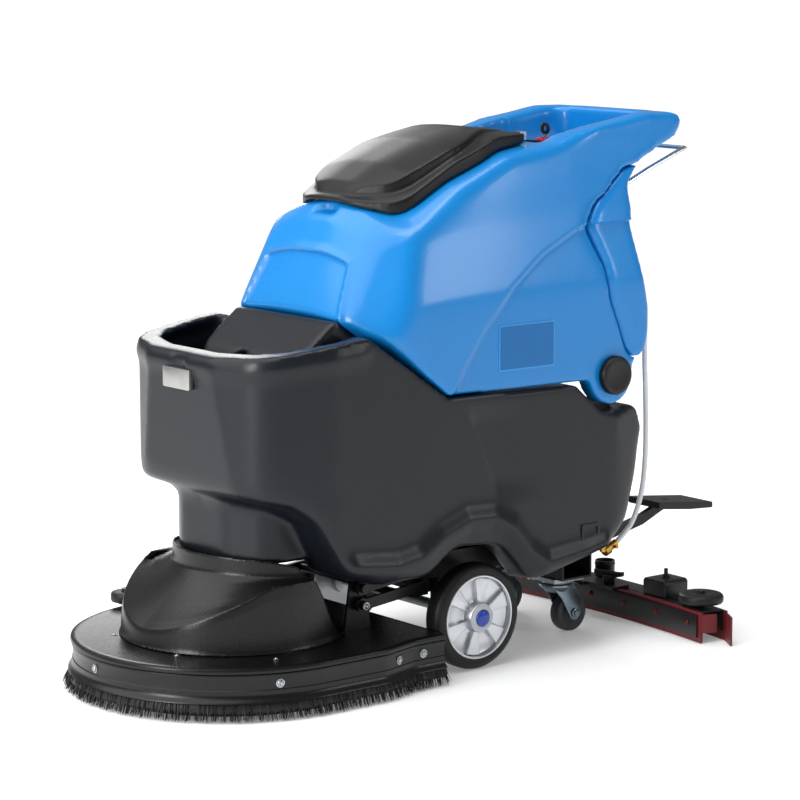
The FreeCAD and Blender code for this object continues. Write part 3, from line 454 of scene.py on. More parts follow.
def upper_form(x, y, z):
    """Crease of the flank, and the framed panel let into the front."""
    side = 1 if x > 0 else -1
    dx = dy = 0.0
    if abs(x) > 175 and z < 830:
        dx = -side * 6 * ease(in_facet(y, z) / 3.5) * ease((abs(x) - 175) / 20)
    if y < -150 and z < 840:
        half = 150 - 24 * (z - 676) / 110
        inside = min(half - abs(x), 786 - z)
        if inside > -14:
            dy = -5 * math.exp(-(inside / 5) ** 2) + 4.5 * ease((inside - 5) / 6)
    return dx, dy, 0


pushed(upper, upper_form)
worked(upper, "SMOOTH", factor=0.5, iterations=2)
pushed(upper, crown)
finished(upper, blue, "recovery", "blue_polyethylene", "recovery_tank")

cover = upper_mass("rear_cover_shell")
carved(cover, slab("seam_side", [(p[0] + 1,) + tuple(p[1:]) for p in SEAM], "x", -300, 300), how="INTERSECT")
carved(cover, bar("lobe_room", 59, (-300, *TILT_PIN), (300, *TILT_PIN), 96), lobe_pair("slots", 76, 182, 199))
softened(cover, 4.0, 5)
blended(cover, 60, lambda x, y, z: ease((abs(x) - 150) / 30) * ease((z - 570) / 40))
pushed(cover, upper_form)
finished(cover, blue, "recovery", "blue_polyethylene", "rear_cover")


# ---- Lid over the recovery tank: black injection-moulded ABS with a fine grain, a skirt tier and a
# raised oval on it. It hinges on a steel pin across its straight back edge.

# injection-moulded ABS with an eroded grain: black, satin
abs_black = moulded("grained black ABS", "#09090a", "#0d0d0e", 0.40, 2.4, 0.08)

lid_line = both([(66, -182, 70), (152, -126, 70), (152, 60, 200), (127, 192, 12)])
skirt = slab("lid_shell", [(-182, 868, 3), (-129, 872, 40), (-20, 924, 80), (108, 963, 60), (192, 967),
                           (192, 985, 3), (108, 989, 80), (0, 958, 120), (-92, 915, 80), (-150, 888, 30),
                           (-182, 877, 4)], "x", -200, 200)
carved(skirt, slab("lid_plan", lid_line, "z", 700, 1100), how="INTERSECT")
oval = slab("oval", [(-166, 876), (-129, 878), (60, 940), (192, 970), (186, 987, 6), (108, 996, 80),
                     (0, 974, 120), (-92, 938, 80), (-152, 903, 24), (-166, 886, 8)], "x", -200, 200)
carved(oval, slab("oval_plan", both([(46, -168, 60), (126, -116, 70), (134, 20, 160), (60, 188, 20)]),
                  "z", 700, 1100), how="INTERSECT")
carved(skirt, oval, how="UNION")
softened(skirt, 3.0, 7)
pushed(skirt, crown)
finished(skirt, abs_black, "lid", "black_plastic", "lid")


# ---- Brush deck hood: black polypropylene, moulded with a fine grain. A nearly upright wall stands on
# the deck, an inclined face leans back from it to a collar round the tank's neck, and the back is open.

# polypropylene: black with a slight gloss that shows the creases
deck_black = moulded("grained black polypropylene", "#09090a", "#0e0e10", 0.30, 2.6, 0.14)


def drawn_up(name, rings, fill=True):
    """A loop of edges extruded ring after ring, each ring given as its points."""
    bpy.ops.object.select_all(action="DESELECT")
    bpy.ops.mesh.primitive_circle_add(vertices=len(rings[0]), radius=1, fill_type="NGON" if fill else "NOTHING")
    piece = bpy.context.object
    piece.name = name
    for vertex, point in zip(piece.data.vertices, rings[0]):
        vertex.co = point
    bpy.ops.object.mode_set(mode="EDIT")
    bpy.ops.mesh.select_all(action="SELECT")
    for below, above in zip(rings, rings[1:]):
        finder = kdtree.KDTree(len(below))
        for i, point in enumerate(below):
            finder.insert(point, i)
        finder.balance()
        bpy.ops.mesh.extrude_region_move()
        cage = bmesh.from_edit_mesh(piece.data)
        for vertex in cage.verts:
            if vertex.select:
                vertex.co = above[finder.find(vertex.co)[1]]
    bpy.ops.mesh.select_all(action="SELECT")
    bpy.ops.mesh.normals_make_consistent(inside=False)
    bpy.ops.object.mode_set(mode="OBJECT")
    return piece


def hood_ring(kind):
    """One ring of the hood at each of 96 angles: its wall, its crease, its inclined face, its collar."""
    ring = []
    for k in range(96):
        angle = 2 * math.pi * k / 96
        aside = abs(((math.degrees(angle) + 90 + 180) % 360) - 180)
        crease = 128 + 88 * min(1, aside / 74) ** 1.6
        foot = Vector((math.cos(angle) * 205, -400 + math.sin(angle) * 205, 95))
        edge = Vector((math.cos(angle) * 202, -399 + math.sin(angle) * 202, crease))
        neck = Vector((math.cos(angle) * 188, -306 + math.sin(angle) * 188, 219))
        out = Vector((math.cos(angle), math.sin(angle), 0))
        place = {
            "flange": foot + out * 7, "root": foot + out * 2 + Vector((0, 0, 2.5)),
            "wall": foot + Vector((0, 0, 10)),
            "wall_top": foot.lerp(edge, 0.8), "edge": edge - out * 1.5, "slope_foot": edge.lerp(neck, 0.14),
            "slope": edge.lerp(neck, 0.5), "slope_top": edge.lerp(neck, 0.9), "neck": neck + Vector((0, 0, 3)),
            "collar": neck - out + Vector((0, 0, 9)), "collar_mid": neck - out + Vector((0, 0, 24)),
            "collar_top": neck - out + Vector((0, 0, 44)),
        }[kind]
        ring.append(mm(*place))
    return ring


hood = drawn_up("deck_hood_shell", [hood_ring(kind) for kind in (
    "flange", "root", "wall", "wall_top", "edge", "slope_foot", "slope", "slope_top", "neck", "collar",
    "collar_mid", "collar_top")])
inner = hood.copy()
inner.data = hood.data.copy()
bpy.context.scene.collection.objects.link(inner)
pushed(inner, lambda x, y, z: (-x * 0.03, -(y + 355) * 0.03, 6 if z > 250 else -4))
carved(hood, inner)
hood_side = slab("hood_side", [(-640, 93), (-640, 270), (-492, 255), (-425, 250), (-380, 240, 18),
                               (-350, 204, 30), (-314, 134, 40), (-288, 102, 16), (-256, 97, 4), (-256, 93)],
                 "x", -260, 260)
carved(hood, hood_side, how="INTERSECT")
softened(hood, 2.2, 5)
finished(hood, deck_black, "deck", "black_plastic", "deck_hood")


# ---- Deck plate and splash band: the plate's edge is rolled over; below it a separate moulded band runs
# round the front and both flanks, open at the back, with a bead, a bolt face and a flared lip.

DECK_RADIUS, DECK_MIDDLE = 290, -403      # round front
TAIL_HALF_WIDTH, TAIL_END = 268, -120     # flanks wave in a little towards the wheels


def deck_line():
    """Outline of the deck from its left tail round the front to its right tail."""
    flank = rounded([(DECK_RADIUS, DECK_MIDDLE), (DECK_RADIUS, -270, 60), (TAIL_HALF_WIDTH, -190, 60),
                     (TAIL_HALF_WIDTH, TAIL_END)])
    left = [Vector(p) for p in reversed(flank)]
    tail = []
    for p, q in zip(left, left[1:]):
        parts = max(1, round((q - p).length / 12))
        tail += [p.lerp(q, k / parts) for k in range(parts)]
    turns = [-math.pi * k / 90 for k in range(91)]
    front = [Vector((math.cos(a) * DECK_RADIUS, DECK_MIDDLE + math.sin(a) * DECK_RADIUS)) for a in turns]
    return tail + front + [Vector((-p.x, p.y)) for p in reversed(tail)]


centre_line = deck_line()
side_ways = []
for i, point in enumerate(centre_line):
    ahead = centre_line[min(i + 1, len(centre_line) - 1)] - centre_line[max(i - 1, 0)]
    side_ways.append(Vector((-ahead.y, ahead.x)).normalized())


def deck_ring(grow, z):
    return [mm(p.x + s.x * grow, p.y + s.y * grow, z) for p, s in zip(centre_line, side_ways)]


plate = drawn_up("deck_plate_shell", [deck_ring(g, z) for g, z in (
    (-8, 86), (0, 84), (3.5, 85.5), (4.5, 89), (3, 93), (-2, 95.4), (-9, 95.6), (-14, 94.8))])
finished(plate, deck_black, "deck", "black_plastic", "deck_plate")


def swept(name, section, stations):
    """A closed cross-section (out, z) drawn along the deck's outline, its two ends filled."""
    return drawn_up(name, [[mm(p.x + s.x * out, p.y + s.y * out, z) for out, z in section]
                           for p, s in stations])


stations = list(zip(centre_line, side_ways))
band_section = [(-1, 85), (1.5, 83), (2.2, 80), (1.2, 77), (0, 75), (0, 56), (1.4, 54.5), (1.6, 51), (0.8, 49),
                (2, 44), (5, 39), (8.5, 36), (9.5, 33.6), (8, 32.2), (3, 33), (-2, 38), (-5, 48), (-6, 60),
                (-6, 85)]
splash = swept("deck_band_shell", band_section, stations)
finished(splash, deck_black, "deck", "black_plastic", "deck_band")


# ---- Bristle skirt: black nylon filaments in a strip clamped behind the band's lip. They splay outwards
# to the floor in uneven tufts.

# nylon filament: black with small glints, drawn thicker than real ones so that strands show
bristle = moulded("black nylon filament", "#0b0b0c", "#1b1b1e", 0.45, 1.5, 0.1)
root_core = swept("bristle_core", [(4, 36), (6, 30), (9, 22), (8, 17), (3, 17), (0, 24), (-3, 30), (-3, 36)],
                  stations)
finished(root_core, bristle, "deck", "black_bristle", "bristle_skirt")

draw = random.Random(7)
strand_points, strand_faces = [], []
for (p, s), (q, t) in zip(stations, stations[1:]):
    gap = (q - p).length
    for k in range(max(1, round(gap / 0.62))):
        along = draw.random()
        spot, out = p.lerp(q, along), s.lerp(t, along).normalized()
        run = Vector((-out.y, out.x))
        tuft = noise.noise(Vector((spot.x / 9, spot.y / 9, 3.0)))
        depth = draw.uniform(-2, 6)
        splay = 9 + 0.5 * depth + draw.uniform(-3, 3) + 2.5 * tuft
        slip = 5 * tuft + draw.uniform(-2.2, 2.2)
        tip = 1.2 + 7 * abs(tuft) + draw.uniform(0, 4.0)
        base = len(strand_points)
        for share, thick in ((0.0, 0.75), (0.5, 0.7), (1.0, 0.35)):
            bend = share ** 1.5
            centre = spot + out * (depth + splay * bend) + run * (slip * bend)
            z = 37 + (tip - 37) * share
            for spoke in range(3):
                a = 2.1 * spoke + along * 6
                strand_points.append(mm(centre.x + math.cos(a) * thick, centre.y + math.sin(a) * thick, z))
        for level in (0, 3):
            for spoke in range(3):
                a, b = base + level + spoke, base + level + (spoke + 1) % 3
                strand_faces.append((a, a + 3, b + 3, b))
        strand_faces.append((base, base + 1, base + 2))
        strand_faces.append((base + 8, base + 7, base + 6))
strand_mesh = bpy.data.meshes.new("bristle_strands")
strand_mesh.from_pydata(strand_points, [], strand_faces)
strands = bpy.data.objects.new("bristle_strands", strand_mesh)
bpy.context.scene.collection.objects.link(strands)
finished(strands, bristle, "deck", "black_bristle")


# ---- Drive wheels: a solid black rubber tyre pressed on a cast hub lacquered silver, with six raised
# wedges, a pale boss and a blue push-in cap over the axle's end.

def turned(name, profile, centre, axis="x", sides=72, loop=False):
    """A solid of revolution from (place along the axis, radius) pairs; loop closes a ring's section."""
    rings = []
    for along, radius in profile:
        ring = []
        for k in range(sides):
            a, b = radius * math.cos(2 * math.pi * k / sides), radius * math.sin(2 * math.pi * k / sides)
            x, y, z = {"x": (along, a, b), "y": (a, along, b), "z": (a, b, along)}[axis]
            ring.append(mm(centre[0] + x, centre[1] + y, centre[2] + z))
        rings.append(ring)
    if not loop:
        return drawn_up(name, rings)
    piece = drawn_up(name, rings + rings[:1], fill=False)
    bpy.ops.object.mode_set(mode="EDIT")
    bpy.ops.mesh.select_all(action="SELECT")
    bpy.ops.mesh.remove_doubles(threshold=0.00001)
    bpy.ops.mesh.normals_make_consistent(inside=False)
    bpy.ops.object.mode_set(mode="OBJECT")
    return piece


def rounded_off(piece, width, segments=3):
    return worked(piece, "BEVEL", width=width / 1000, segments=segments, limit_method="ANGLE",
                  angle_limit=math.radians(35))


def metal(name, dark, light, rough, scratch_mm):
    """Bare or plated metal: a faint mottle in the colour and fine uneven gloss."""
    material, tree, shader, place = new_finish(name, Metallic=1.0, Roughness=rough)
    cloud = add(tree, "TexNoise", {"Vector": place, "Scale": 40.0, "Detail": 5.0})
    shade = add(tree, "MixRGB", {"Fac": cloud.outputs["Fac"], "Color1": colour(dark), "Color2": colour(light)})
    tree.links.new(shade.outputs["Color"], shader.inputs["Base Color"])
    fine = add(tree, "TexNoise", {"Vector": place, "Scale": 1000 / scratch_mm, "Detail": 2.0})
    gloss = add(tree, "MapRange", {"Value": fine.outputs["Fac"], "To Min": rough - 0.06, "To Max": rough + 0.1})
    tree.links.new(gloss.outputs["Result"], shader.inputs["Roughness"])
    skin = add(tree, "Bump", {"Height": fine.outputs["Fac"], "Strength": 0.25, "Distance": 0.0001})
    tree.links.new(skin.outputs["Normal"], shader.inputs["Normal"])
    return material


# solid rubber: nearly black and dull, with a fine skin
rubber = moulded("solid tyre rubber", "#0c0c0d", "#141415", 0.48, 1.6, 0.08)
# cast aluminium under silver lacquer: bright, soft highlights without a mirror image
silver = metal("silver lacquered cast hub", "#c4c7cb", "#d2d5d8", 0.34, 1.2)
# injection-moulded polypropylene: deep blue with a wet gloss
cap_blue = moulded("glossy blue cap polypropylene", "#15389a", "#1c41a6", 0.2, 2.0, 0.02, coat=0.4)
# lacquered boss: pale and flat beside the bright wedges
boss_grey = moulded("pale grey boss lacquer", "#aeb2b8", "#babec3", 0.36, 1.2, 0.04)

WHEEL_MIDDLE = (0, 0, 100)
# sections as (distance from the machine's middle, radius)
TYRE_SECTION = [(181, 79.6), (180.4, 84), (181, 90), (184, 95), (189, 98.8), (195, 100), (211, 100),
                (217, 98.8), (222, 95), (225, 90.5), (225.6, 86), (224.9, 85.2), (225.2, 84), (225.4, 80.6),
                (224, 79.6)]
DISH_SECTION = [(183, 10.3), (183, 26), (196, 27), (198, 70), (184, 73), (181.5, 79.2), (225, 79.2),
                (226, 78), (225.6, 75.5), (222, 74.2), (214, 73.4), (212.4, 71), (212, 34), (214, 29),
                (229, 28), (231.6, 26.2), (232, 24), (232, 10.3)]
for side, hand in ((1, "left"), (-1, "right")):
    tyre = turned("tyre_shell_" + hand, [(side * x, r) for x, r in TYRE_SECTION], WHEEL_MIDDLE,
                  sides=96, loop=True)
    finished(tyre, rubber, "wheel_" + hand, "tyre_rubber", "tyre_" + hand)
    dish = turned("hub_shell_" + hand, [(side * x, r) for x, r in DISH_SECTION], WHEEL_MIDDLE,
                  sides=96, loop=True)
    finished(dish, silver, "wheel_" + hand, "hub_aluminium", "hub_" + hand)
    for k in range(6):
        wedge = slab("hub_wedge", [(27, -6, 2), (71.6, -17, 3), (73.4, 0), (71.6, 17, 3), (27, 6, 2)], "x",
                     211 if side > 0 else -221, 221 if side > 0 else -211)
        turn = math.radians(60 * k + 21)
        rounded_off(wedge, 2.2)
        pushed(wedge, lambda x, y, z: (0, y * math.cos(turn) - z * math.sin(turn) - y,
                                       y * math.sin(turn) + z * math.cos(turn) + 100 - z))
        finished(wedge, silver, "wheel_" + hand, "hub_aluminium")
    boss = turned("hub_boss_" + hand, [(side * x, r) for x, r in (
        (231.5, 25), (233.6, 25), (234.4, 24), (234.6, 16.5), (233, 15.6), (232.4, 1))], WHEEL_MIDDLE)
    finished(boss, boss_grey, "wheel_" + hand, "hub_aluminium")
    cap = turned("hub_cap_" + hand, [(side * x, r) for x, r in (
        (231.5, 15.4), (235.6, 15.4), (237.6, 14.2), (239, 11), (240, 6), (240.4, 0.6))], WHEEL_MIDDLE)
    finished(cap, cap_blue, "wheel_" + hand, "black_plastic")


# ---- Swivel casters: pressed and zinc-plated steel, a square top plate, two ball races and a fork of
# two broad cheeks, with a grey rubber wheel on a bolt.

# zinc plate, blue passivated: a cool grey with a cloudy gloss
plate_zinc = metal("blue passivated zinc plate", "#6d7d88", "#8a99a3", 0.3, 1.5)
# moulded grey rubber: lighter than the tyres, dull
caster_rubber = moulded("grey caster rubber", "#33363b", "#3d4045", 0.5, 1.6, 0.06)
for side, hand in ((1, "left"), (-1, "right")):
    at = (side * 95, 305, 0)
    hanging = (side * 95, 337, 38)
    race = turned("caster_race_" + hand, [(84, 5), (84, 20), (88, 24), (93, 31), (97, 34.5), (100, 34.5),
                                          (101.5, 32), (102, 28), (106, 27.4), (107, 25), (107, 5)], at, axis="z")
    finished(race, plate_zinc, "caster_" + hand, "zinc_steel", "caster_fork_" + hand)
    for cheek_side in (-1, 1):
        x0 = side * 95 + cheek_side * 19
        cheek = slab("caster_cheek", [(279, 98, 4), (333, 99, 6), (354, 62, 14), (352, 34, 12), (340, 22, 9),
                                      (327, 28, 9), (304, 70, 20)], "x", x0 - 1.5, x0 + 1.5)
        rounded_off(cheek, 0.9, 2)
        finished(cheek, plate_zinc, "caster_" + hand, "zinc_steel")
    for x, r in ((20.8, 9), (24, 6.5)):
        for sign in (-1, 1):
            nut = turned("caster_nut", [(sign * x, 1), (sign * x, r - 0.6), (sign * (x + 0.6), r),
                                        (sign * (x + 2.6), r), (sign * (x + 3.2), r - 0.8), (sign * (x + 3.2), 1)],
                         hanging, sides=6 if r < 8 else 32)
            finished(nut, plate_zinc, "caster_" + hand, "zinc_steel")
    tread = turned("caster_tread_" + hand, [
        (-13, 6), (-13, 15), (-11, 18), (-11.5, 24), (-13.6, 27), (-13.6, 32), (-11, 36.6), (-6, 38), (6, 38),
        (11, 36.6), (13.6, 32), (13.6, 27), (11.5, 24), (11, 18), (13, 15), (13, 6)], hanging)
    finished(tread, caster_rubber, "caster_" + hand + "_wheel", "caster_rubber", "caster_wheel_" + hand)


# ---- Squeegee: a curved black steel channel that trails behind, a red blade sticking out above and
# below the strap that clamps it, two folded saddles with studs, and a rubber roller at each end.

HALF_LENGTH, SAG, MIDDLE_Y = 340, 26, 518


def bow(x):
    """Middle line of the curved squeegee in plan."""
    radius = (HALF_LENGTH ** 2 + SAG ** 2) / (2 * SAG)
    return MIDDLE_Y - radius + math.sqrt(radius ** 2 - x ** 2)


def curved_bar(name, half, section, step=17):
    """A section (across, z) drawn along the squeegee's curve from one end to the other."""
    count = round(2 * half / step)
    rings = []
    for k in range(count + 1):
        x = -half + 2 * half * k / count
        slope = (bow(x + 1) - bow(x - 1)) / 2
        rings.append([mm(x - slope * across, bow(x) + across, z) for across, z in section])
    return drawn_up(name, rings)


# powder coat on steel: even black with a satin sheen that follows the folds
coat_black = moulded("satin powder coated steel", "#101011", "#19191b", 0.36, 1.8, 0.06)
# cast urethane sheet: dark red, a little waxy
blade_red = moulded("dark red urethane sheet", "#5c1218", "#6c1a20", 0.42, 2.5, 0.05)
channel_line = [(-25, 20), (-25, 59.5), (-23.6, 61.6), (-21, 62.3), (21, 62.3), (23.6, 61.6), (25, 59.5),
                (25, 20), (21, 20), (21, 58), (-21, 58), (-21, 20)]
channel = curved_bar("squeegee_channel", HALF_LENGTH, channel_line)
finished(channel, coat_black, "squeegee", "black_steel", "squeegee_body")
spigot = turned("squeegee_spigot", [
    (61, 17), (61, 24), (62.5, 24), (64, 21), (66, 20), (90, 20), (92, 21), (94, 21), (96, 20), (99.4, 20),
    (100, 19.4), (100, 17.4), (99, 17)], (0, 522, 0), axis="z", loop=True)
finished(spigot, coat_black, "squeegee", "black_steel")
front_lip = curved_bar("front_blade_shell", HALF_LENGTH + 4, [
    (-29.9, 0.6), (-30.1, 40), (-30.6, 60.4), (-30, 61), (-26, 61), (-25.4, 60.4), (-25.4, 3), (-28.6, 0.6)])
finished(front_lip, blade_red, "squeegee", "red_urethane", "front_blade")
strap = curved_bar("front_strap", HALF_LENGTH - 6, [(-33.2, 10), (-33.8, 11), (-33.8, 53), (-33.2, 54),
                                                    (-30.9, 54), (-30.9, 10)])
finished(strap, coat_black, "squeegee", "black_steel", "clamp_straps")
back_strap = curved_bar("back_strap", HALF_LENGTH - 6, [(31, 21), (31, 48), (33.4, 48), (34, 47), (34, 22),
                                                        (33.4, 21)])
finished(back_strap, coat_black, "squeegee", "black_steel")
for side, hand in ((1, "left"), (-1, "right")):
    end_panel = slab("end_panel", [(24, 20, 3), (24, 57, 3), (59, 57, 3), (59, 24, 3), (52, 20, 3)],
                     "x", -0.8, 0.8)
    rounded_off(end_panel, 0.5, 1)
    pushed(end_panel, lambda x, y, z: (side * (352 - 0.42 * (y - 24)) + side * x - x,
                                       472 - (y - 24) * 0.9 + 20 - y, 0))
    finished(end_panel, blade_red, "squeegee", "red_urethane")
    saddle = slab("saddle", [(150 * side, 62), (150 * side, 96, 8), (214 * side, 96, 8), (214 * side, 62)],
                  "y", 486, 548)
    rounded_off(saddle, 2.5)
    finished(saddle, coat_black, "squeegee", "black_steel", *(["squeegee_brackets"] if side > 0 else []))
    axle_bar = slab("roller_bar", [(206, 497, 3), (306, 495, 7), (306, 511, 7), (206, 509, 3)], "z", 62.2, 66)
    pushed(axle_bar, lambda x, y, z: (side * x - x, 0, 0))
    finished(axle_bar, coat_black, "squeegee", "black_steel")
    for x, y, low, high, radius in ((182, 518, 96, 98, 9), (182, 518, 97, 114, 4), (182, 518, 98, 102, 6.5),
                                    (296, 503, 66, 92, 5), (296, 503, 89.5, 92.4, 8)):
        stud = turned("stud", [(low, 0.5), (low, radius - 0.4), (low + 0.4, radius), (high - 0.8, radius),
                               (high, radius - 0.8), (high, 0.5)], (side * x, y, 0), axis="z",
                      sides=6 if radius == 6.5 else 28)
        finished(stud, coat_black, "squeegee", "black_steel")
    disc = turned("roller_disc_" + hand, [(68.4, 6), (68.4, 38), (69.4, 41.6), (72, 43.6), (76, 44), (80, 44),
                                          (83.4, 43), (86, 40.4), (87.2, 36), (87.6, 16), (86.6, 13), (86.2, 9),
                                          (88, 8.4), (88, 6)], (side * 296, 503, 0), axis="z")
    finished(disc, rubber, "roller_" + hand, "black_rubber", "squeegee_roller_" + hand)
    collar = turned("knob_collar", [(68.6, 4.3), (68.6, 11), (70, 12), (80, 12), (82, 13), (85, 12), (86, 9),
                                    (86, 4.3)], (side * 61, 477, 0), axis="z", loop=True)
    finished(collar, abs_black, "knob_" + hand, "black_plastic", "wing_knob_" + hand)
    wings = slab("knob_wings", [(-33, -5, 4), (-33, 5, 4), (-12, 4), (12, 4), (33, 5, 4), (33, -5, 4), (12, -4),
                                (-12, -4)], "z", 78, 87)
    rounded_off(wings, 1.6)
    turn = math.radians(20 * side)
    pushed(wings, lambda x, y, z: (x * math.cos(turn) - y * math.sin(turn) + 61 * side - x,
                                   x * math.sin(turn) + y * math.cos(turn) + 477 - y,
                                   8 * abs(x) / 33 if z > 0 else 0))
    finished(wings, abs_black, "knob_" + hand, "black_plastic")

bumper = turned("bumper_disc", [(99.8, 6), (99.8, 26), (101, 28.6), (104, 30), (114, 30), (117.4, 28.4),
                                (119, 25), (119.6, 13), (118.6, 9), (119.6, 8), (119.6, 6)],
                (-296, -438, 0), axis="z")
finished(bumper, rubber, "bumper", "black_rubber", "bumper_roller")


# ---- Fasteners that show: plated pan heads on washers along the band, reddened bolts in the strap,
# a silver head on each link pin, small screws in the deck.

# zinc-plated screws: light grey points of light along the band
zinc = metal("zinc plated steel", "#9aa0a6", "#b9bec3", 0.32, 1.5)
# the strap's bolts have a brown-red bloom
strap_bolt = metal("red oxide bolt", "#5a2a2a", "#743636", 0.4, 1.5)


def bolt(name, place, out, radius, height, body, finish):
    """A pan head with a recess, standing on a washer, facing along out."""
    head = turned(name, [(0, 0.5), (0, radius + 2.4), (0.9, radius + 2.4), (1.1, radius + 2), (1.1, radius),
                         (height * 0.5, radius), (height * 0.85, radius * 0.82), (height, radius * 0.5),
                         (height - 0.9, radius * 0.38), (height - 1.3, 0.5)], (0, 0, 0), axis="z", sides=28)
    facing = Vector(out).to_track_quat("Z", "Y").to_matrix().to_4x4()
    head.data.transform(Matrix.Translation(mm(*place)) @ facing @ Matrix.Translation(-mm(0, 0, 0)))
    return finished(head, finish, body, "zinc_steel")


band_bolts = []
for degrees in (-165.5, -92, -18.5):
    out = Vector((math.cos(math.radians(degrees)), math.sin(math.radians(degrees)), 0))
    band_bolts.append(((out.x * DECK_RADIUS, DECK_MIDDLE + out.y * DECK_RADIUS, 66), out, 5.6, 4.4))
for side in (-1, 1):
    band_bolts.append(((side * 280.1, -234, 66), (side * 0.964, 0.265, 0), 5.6, 4.4))
    band_bolts.append(((side * 268.1, -169, 66), (side, 0, 0), 5.6, 4.4))
for x, y in ((100, -593), (-100, -593), (228, -470), (-228, -470)):
    band_bolts.append(((x, y, 95), (0, 0, 1), 3.2, 2.6))
for i, (place_mm, out, radius, height) in enumerate(band_bolts):
    screw = bolt("deck_screw", place_mm, out, radius, height, "deck", zinc)
    if i == 0:
        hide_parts("deck_bolts")
for side in (-1, 1):
    bolt("link_bolt", (side * 166, -220, 142), (side, 0, 0), 5, 4, "deck", zinc)
for i in range(7):
    x = -300 + 100 * i
    for across, out in ((-33.8, (0, -1, 0)), (34, (0, 1, 0))):
        screw = bolt("strap_bolt", (x, bow(x) + across, 36), out, 4.6, 4, "squeegee", strap_bolt)
        if i == 0 and across < 0:
            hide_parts("clamp_bolts")


# ---- Badges, label and plugs: a plain metal plate on the bowl, a plain blue label on the flank and a
# raised square on the tank's lower corner; all without lettering.

# brushed metal plate: a pale glint on the dark bowl
brushed = metal("brushed badge plate", "#a8a9a8", "#c3c3c0", 0.3, 1.0)
# printed film: flat colour, a thin pale border round it
label_blue = moulded("printed label film", "#0566a8", "#076bb0", 0.3, 3.0, 0.01)
label_edge = moulded("pale border print", "#3c9be0", "#45a2e6", 0.3, 3.0, 0.01)
badge = slab("badge_plate", [(-42, 553, 3), (-42, 590, 3), (40, 590, 3), (40, 553, 3)], "y", -519.4, -510)
rounded_off(badge, 0.6, 2)
finished(badge, brushed, "chassis", "zinc_steel")
label = slab("flank_label", [(40, 560, 2), (40, 640, 2), (170, 640, 2), (170, 560, 2)], "x", 232, 234.3)
finished(label, label_blue, "recovery", "blue_polyethylene")
border = slab("label_border", [(37.5, 557.5, 3), (37.5, 642.5, 3), (172.5, 642.5, 3), (172.5, 557.5, 3)],
              "x", 231, 233.6)
finished(border, label_edge, "recovery", "blue_polyethylene")
for side in (-1, 1):
    plug = turned("pivot_cap", [(side * x, r) for x, r in (
        (234, 20), (234, 37), (243, 37), (246, 35.4), (247.2, 32.5), (247.4, 26), (246.2, 22), (245.8, 1))],
        (0, *TILT_PIN))
    finished(plug, abs_black, "recovery", "black_plastic", *(["pivot_caps"] if side > 0 else []))
    sign = slab("moulded_square", [(240, 208, 4), (240, 246, 4), (286, 246, 4), (286, 208, 4)], "x",
                side * 236 if side > 0 else -240.6, 240.6 if side > 0 else -236)
    inset = slab("inset", [(246, 214, 3), (246, 240, 3), (280, 240, 3), (280, 214, 3)], "x", *((238.2, 242)
                 if side > 0 else (-242, -238.2)))
    carved(sign, inset)
    finished(sign, charcoal, "chassis", "charcoal_polyethylene")


# ---- Key: a black round bow in a red collar on the panel.

# chromed wire: a sharp bright line
chrome = metal("chromed steel wire", "#c9cbce", "#dcdee0", 0.12, 2.0)
# moulded collar: signal red, glossy
collar_red = moulded("red switch collar", "#b3171a", "#c41e1f", 0.25, 2.0, 0.03)
bow_ring = turned("key_bow", [(-2.2, 5.5), (-2.2, 11), (-1.4, 12), (1.4, 12), (2.2, 11), (2.2, 5.5)],
                  (58, 300, 984), axis="y", sides=40, loop=True)
finished(bow_ring, abs_black, "key", "black_plastic", "key")
shank = bar("key_shank", 2.6, (58, 300, 950), (58, 300, 974), 20)
finished(shank, chrome, "key", "black_plastic")
collar = turned("key_collar", [(958, 9.4), (958, 18), (962, 18), (965.4, 17), (966.6, 14), (966.6, 9.4)],
                (58, 300, 0), axis="z", loop=True)
finished(collar, collar_red, "recovery", "switch_collar", "key_switch")


# ---- Level tube: clear soft tube from the brass fitting up the back of the tank to the blue cover;
# the real tube bends when the upper tank tips, but here it keeps one drawn shape and rides on no body.

# soft PVC tube: milky and glossy
tube_clear = moulded("clear PVC tube", "#cfd4d8", "#dfe3e6", 0.18, 3.0, 0.03)
TUBE_RADIUS = 5
ROUTE = [(200, 366, 190), (204, 402, 224), (206, 425, 280), (206, 434, 345), (206, 435, 410), (206, 433, 475),
         (206, 430, 535), (206, 429, 592)]


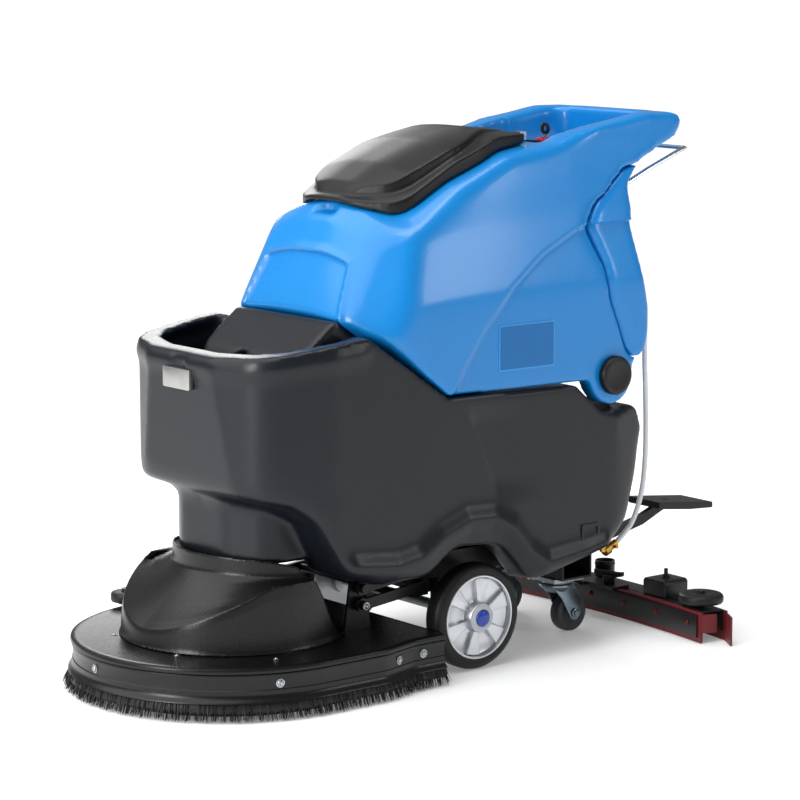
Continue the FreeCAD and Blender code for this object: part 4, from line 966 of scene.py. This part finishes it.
def smooth_line(points, parts):
    """A line through the points without corners (Catmull-Rom)."""
    ends = [points[0]] + list(points) + [points[-1]]
    line = []
    for a, b, c, d in zip(ends, ends[1:], ends[2:], ends[3:]):
        for k in range(parts):
            t = k / parts
            line.append(0.5 * ((2 * b) + (c - a) * t + (2 * a - 5 * b + 4 * c - d) * t * t
                               + (3 * b - a - 3 * c + d) * t ** 3))
    return line + [points[-1]]


route = smooth_line([Vector(p) for p in ROUTE], 6)
tube_rings = []
for i, point in enumerate(route):
    ahead = (route[min(i + 1, len(route) - 1)] - route[max(i - 1, 0)]).normalized()
    across = ahead.cross(Vector((1, 0, 0))).normalized()
    tube_rings.append([mm(*(point + TUBE_RADIUS * (math.cos(a) * across + math.sin(a) * ahead.cross(across))))
                       for a in [2 * math.pi * k / 16 for k in range(16)]])
tube = drawn_up("level_tube_shell", tube_rings)
finished(tube, tube_clear, None, "clear_tube", "level_tube")
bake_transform(tube)


# ---- Everything else, such as the chassis, links, motors and batteries, keeps its drawn shape; each
# piece takes the material of its slot.

# turned brass: warm yellow, bright on its edges
brass_metal = metal("machined brass", "#b08a3e", "#c79c4c", 0.28, 1.0)
# unfilled polypropylene of the float's cage: milky white
natural = moulded("natural polypropylene", "#cfccc2", "#dad8cf", 0.4, 2.0, 0.05)
# battery cases: dark grey, dull
case_grey = moulded("battery case polypropylene", "#1d1e20", "#26272a", 0.42, 2.0, 0.08)
kept = {
    "charcoal_polyethylene": charcoal, "blue_polyethylene": blue, "black_plastic": abs_black,
    "battery_case": case_grey, "black_rubber": rubber, "tyre_rubber": rubber,
    "caster_rubber": caster_rubber, "hub_aluminium": silver, "black_steel": coat_black,
    "zinc_steel": zinc, "chrome_wire": chrome, "red_urethane": blade_red, "black_bristle": bristle,
    "brass": brass_metal, "clear_tube": tube_clear, "switch_collar": collar_red, "float_plastic": natural,
}
slot_of = {part["node"]: part["material_slot"] for part in frame["record"]["subparts"]}
for node_name, node in frame["nodes"].items():
    node.data.materials.clear()
    node.data.materials.append(kept[slot_of[node_name]])
